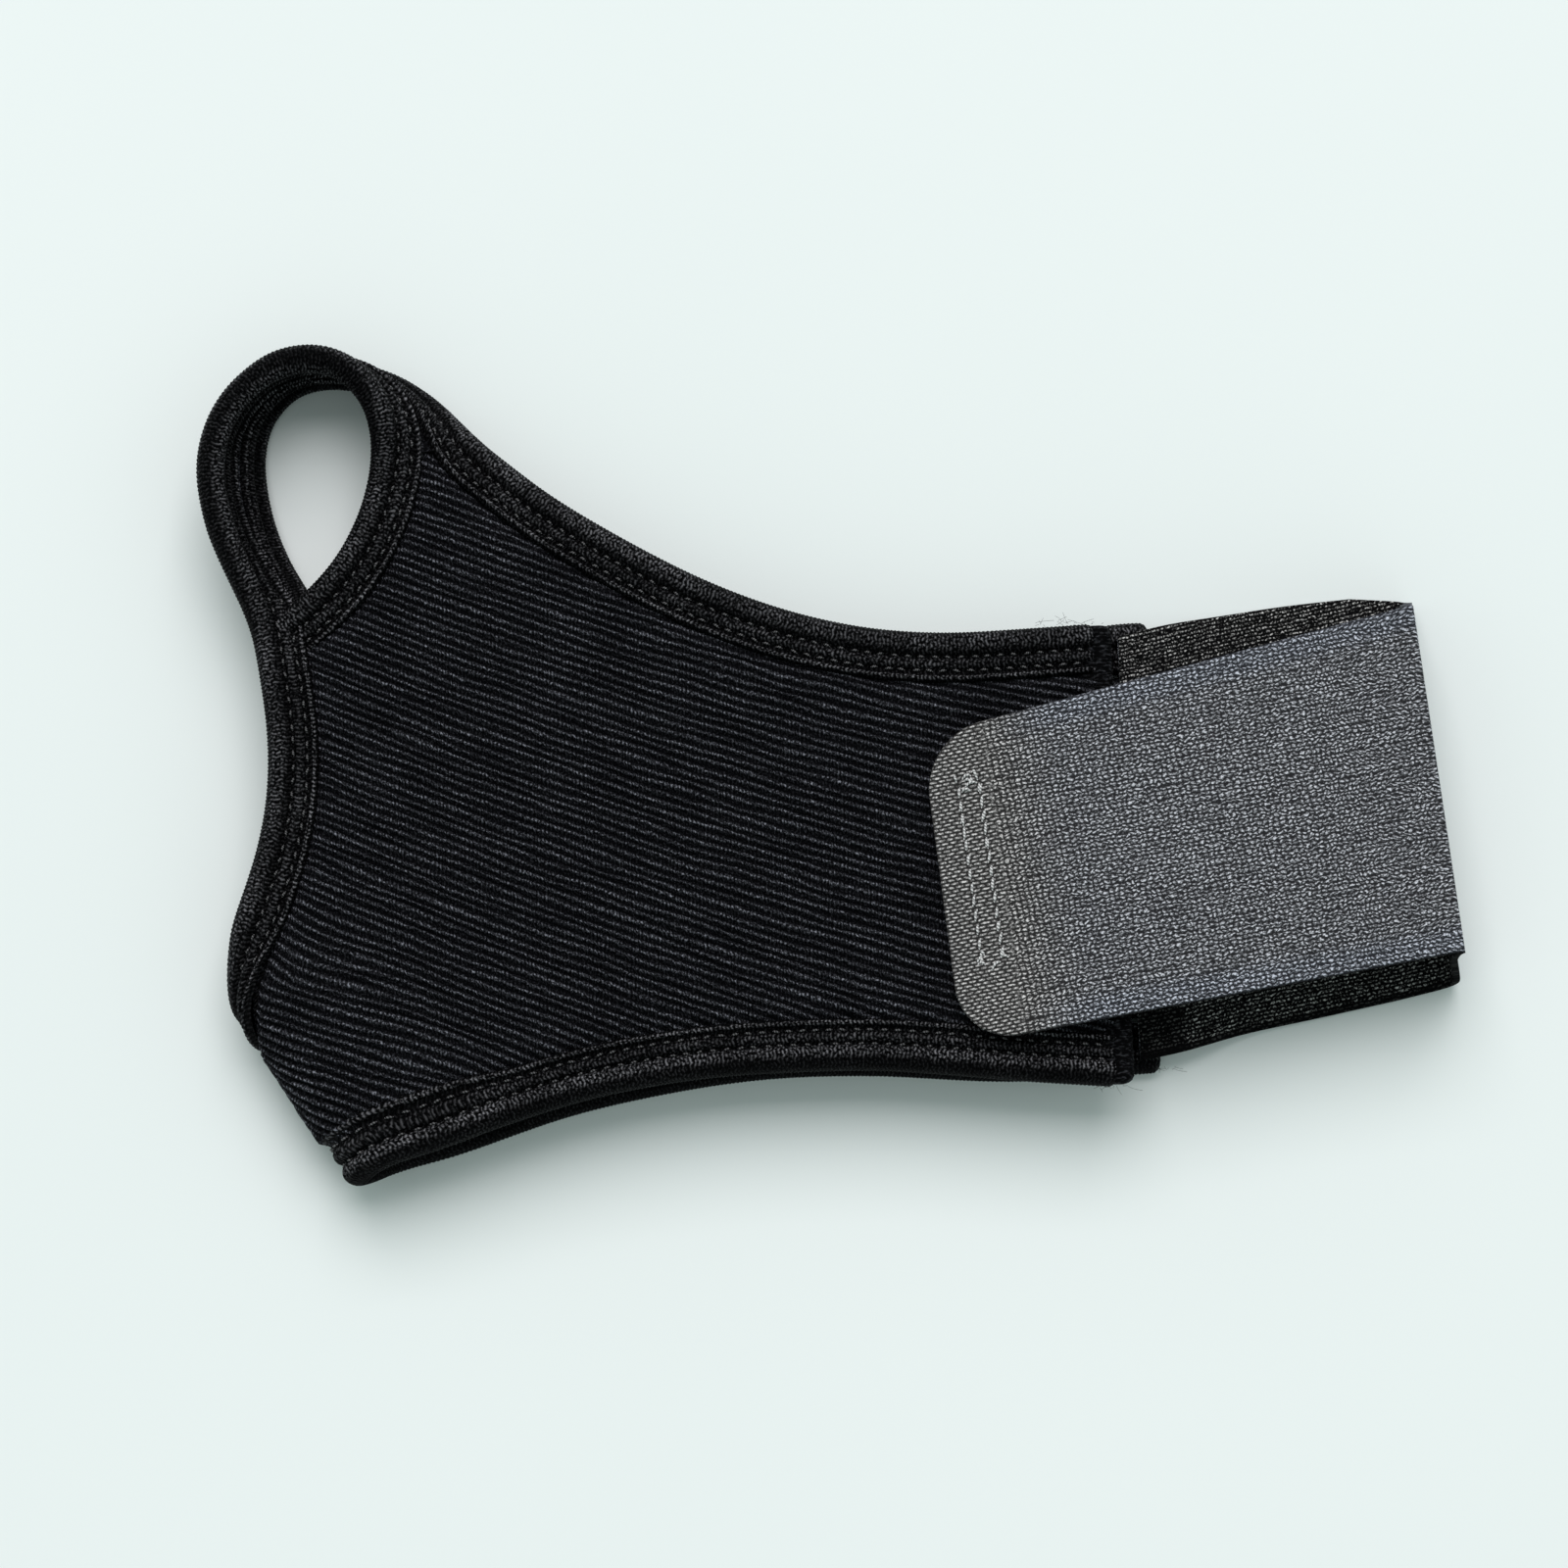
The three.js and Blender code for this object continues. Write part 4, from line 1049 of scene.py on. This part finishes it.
def strap_at(strap, to_tip, across):
    """Places and normals of the strap's middle at distances to its tip and across it."""
    count = len(strap.to_tip)
    rows = np.interp(to_tip, strap.to_tip[::-1], np.arange(count)[::-1])
    first = np.clip(np.floor(rows).astype(int), 0, count - 2)
    part = (rows - first)[..., None]
    found = []
    for values in (strap.middle, strap.normal):
        ends = []
        for row in (first, first + 1):
            columns = (across - strap.inset[row]) / strap.local[row] * (STRAP_COLUMNS - 1)
            column = np.clip(np.floor(columns).astype(int), 0, STRAP_COLUMNS - 2)
            over = (columns - column)[..., None]
            ends.append(values[row, column] * (1 - over) + values[row, column + 1] * over)
        found.append(ends[0] * (1 - part) + ends[1] * part)
    return found


def strap_piece(strap):
    """The strap as a thin slab, grey on its outside and charcoal on its inside."""
    half = strap.normal * STRAP_HALF
    uv = pairs(strap.to_tip[:, None], strap.across)
    slab = closed_slab(strap.middle + half, strap.middle - half, uv)
    piece = add_piece("strap_band", *slab, STRAP_OUTSIDE, "strap_webbing", ["strap"])
    from_side = np.minimum(strap.share, 1 - strap.share) * strap.local[:, None]
    from_root = strap.to_tip[0] - strap.to_tip
    edge = pairs(np.minimum(from_side, strap.to_tip[:, None]), from_root[:, None])
    add_pattern(piece.data, "edge", np.concatenate([edge, edge[:, ::-1]], axis=1))
    piece.data.materials.append(STRAP_INSIDE)
    column = np.tile(np.arange(2 * STRAP_COLUMNS), len(uv) - 1)
    face_look = np.zeros(len(piece.data.polygons), np.int32)
    face_look[: len(column)] = column >= STRAP_COLUMNS
    piece.data.polygons.foreach_set("material_index", face_look)
    return piece


def tip_stitches(strap):
    """Two rows of long twisted stitches across the strap's tip, with loose loops at both ends."""
    random = np.random.default_rng(51)
    share = np.linspace(0, 1, TIP_STITCH.points)
    arch = np.sin(math.pi * share)
    starts = np.arange(TIP_SEAM.start, TIP_SEAM.end, TIP_SEAM.pitch)[:, None]
    to_tip, across = [], []
    for row in TIP_SEAM.rows:
        for ply in (-TIP_STITCH.ply, TIP_STITCH.ply):
            lean = random.uniform(*TIP_STITCH.lean, starts.shape) * (share * 2 - 1)
            sway = random.uniform(-TIP_STITCH.sway, TIP_STITCH.sway, starts.shape)
            stray = random.uniform(-TIP_STITCH.stray, TIP_STITCH.stray, starts.shape)
            to_tip.append(row + ply + lean + sway)
            across.append(starts + stray + share * TIP_SEAM.length)
    for end in (TIP_SEAM.start, TIP_SEAM.end):
        loose = random.uniform(-TIP_LOOPS.size, TIP_LOOPS.size, (TIP_LOOPS.count, 4))
        middle_row = sum(TIP_SEAM.rows) / 2 + loose[:, :1] * TIP_LOOPS.along
        to_tip.append(middle_row + loose[:, 1:2] * (share - 0.5))
        aside = end + loose[:, 2:3] * TIP_LOOPS.across
        across.append(aside + loose[:, 3:] * (share - 0.5) + TIP_LOOPS.bow * arch)
    to_tip, across = np.concatenate(to_tip), np.concatenate(across)
    middle, normal = strap_at(strap, to_tip, across)
    center = middle + normal * (STRAP_HALF + TIP_STITCH.lift + TIP_STITCH.arch * arch)[:, None]
    side = unit(np.cross(normal, np.gradient(center, axis=1)))
    thick = TIP_STITCH.thin + TIP_STITCH.swell * arch
    return add_piece("tip_stitches", *tubes(center, side, normal, thick), TIP_THREAD, "strap_webbing")


def hook_patch(strap):
    """Hook tape sewn under the strap's tip, with its hooks towards the knit."""
    to_tip = np.arange(HOOK_PATCH.from_tip, HOOK_PATCH.end, HOOK_PATCH.step)
    share = np.linspace(0, 1, HOOK_PATCH.columns)
    local = np.interp(to_tip, strap.to_tip[::-1], strap.across[::-1, -1])
    across = HOOK_PATCH.margin + (local - 2 * HOOK_PATCH.margin)[:, None] * share
    spread = np.broadcast_to(to_tip[:, None], across.shape)
    middle, normal = strap_at(strap, spread, across)
    hooks = np.abs(np.sin(math.pi * spread / HOOK_DASH[0]) * np.sin(math.pi * across / HOOK_DASH[1]))
    under = middle - normal * (STRAP_HALF + HOOK_PATCH.gap)
    depth = HOOK_PATCH.thick - HOOK_PATCH.hook + HOOK_PATCH.hook * hooks
    face = under - normal * depth[..., None]
    slab = closed_slab(under, face, pairs(spread, across))
    return add_piece("hook_tape", *slab, HOOKS, "hook_tape", ["hook_patch"])


# Stage

def stage():
    """A pale floor, soft light from all round and one large soft lamp."""
    bpy.ops.mesh.primitive_plane_add(size=FLOOR_SIZE)
    floor = bpy.context.object
    floor.name = "floor"
    floor.data.materials.append(floor_look())
    world = bpy.data.worlds.new("studio")
    bpy.context.scene.world = world
    world.use_nodes = True
    sky = world.node_tree.nodes["Background"]
    sky.inputs["Color"].default_value = SKY.colour
    sky.inputs["Strength"].default_value = SKY.strength
    lamp = bpy.data.lights.new("key", "AREA")
    lamp.size = LAMP.size
    lamp.energy = LAMP.energy
    lamp.color = LAMP.colour
    key = linked("key", lamp)
    key.location = LAMP.place
    key.rotation_euler = (-key.location).to_track_quat("-Z", "Y").to_euler()


def camera():
    """The photograph's view: from above and a little from the near side."""
    elevation = math.radians(CAMERA.up)
    target = Vector((SHIFT_X * MM, 0, CAMERA.target * MM))
    back = Vector((0, -math.cos(elevation), math.sin(elevation)))
    data = bpy.data.cameras.new("camera")
    data.sensor_width = CAMERA.sensor
    data.lens = CAMERA.lens
    data.shift_x = CAMERA.shift[0] / PICTURE
    data.shift_y = CAMERA.shift[1] / PICTURE
    made = linked("camera", data)
    made.location = target + back * CAMERA.away * MM
    made.rotation_euler = (-back).to_track_quat("-Z", "Y").to_euler()
    bpy.context.scene.camera = made


stage()
camera()
knit = knit_pieces()
tapes = tape_pieces()
strap = strap_form()
strap_piece(strap)
tip_stitches(strap)
hook_patch(strap)
bpy.context.scene.view_settings.view_transform = "Standard"
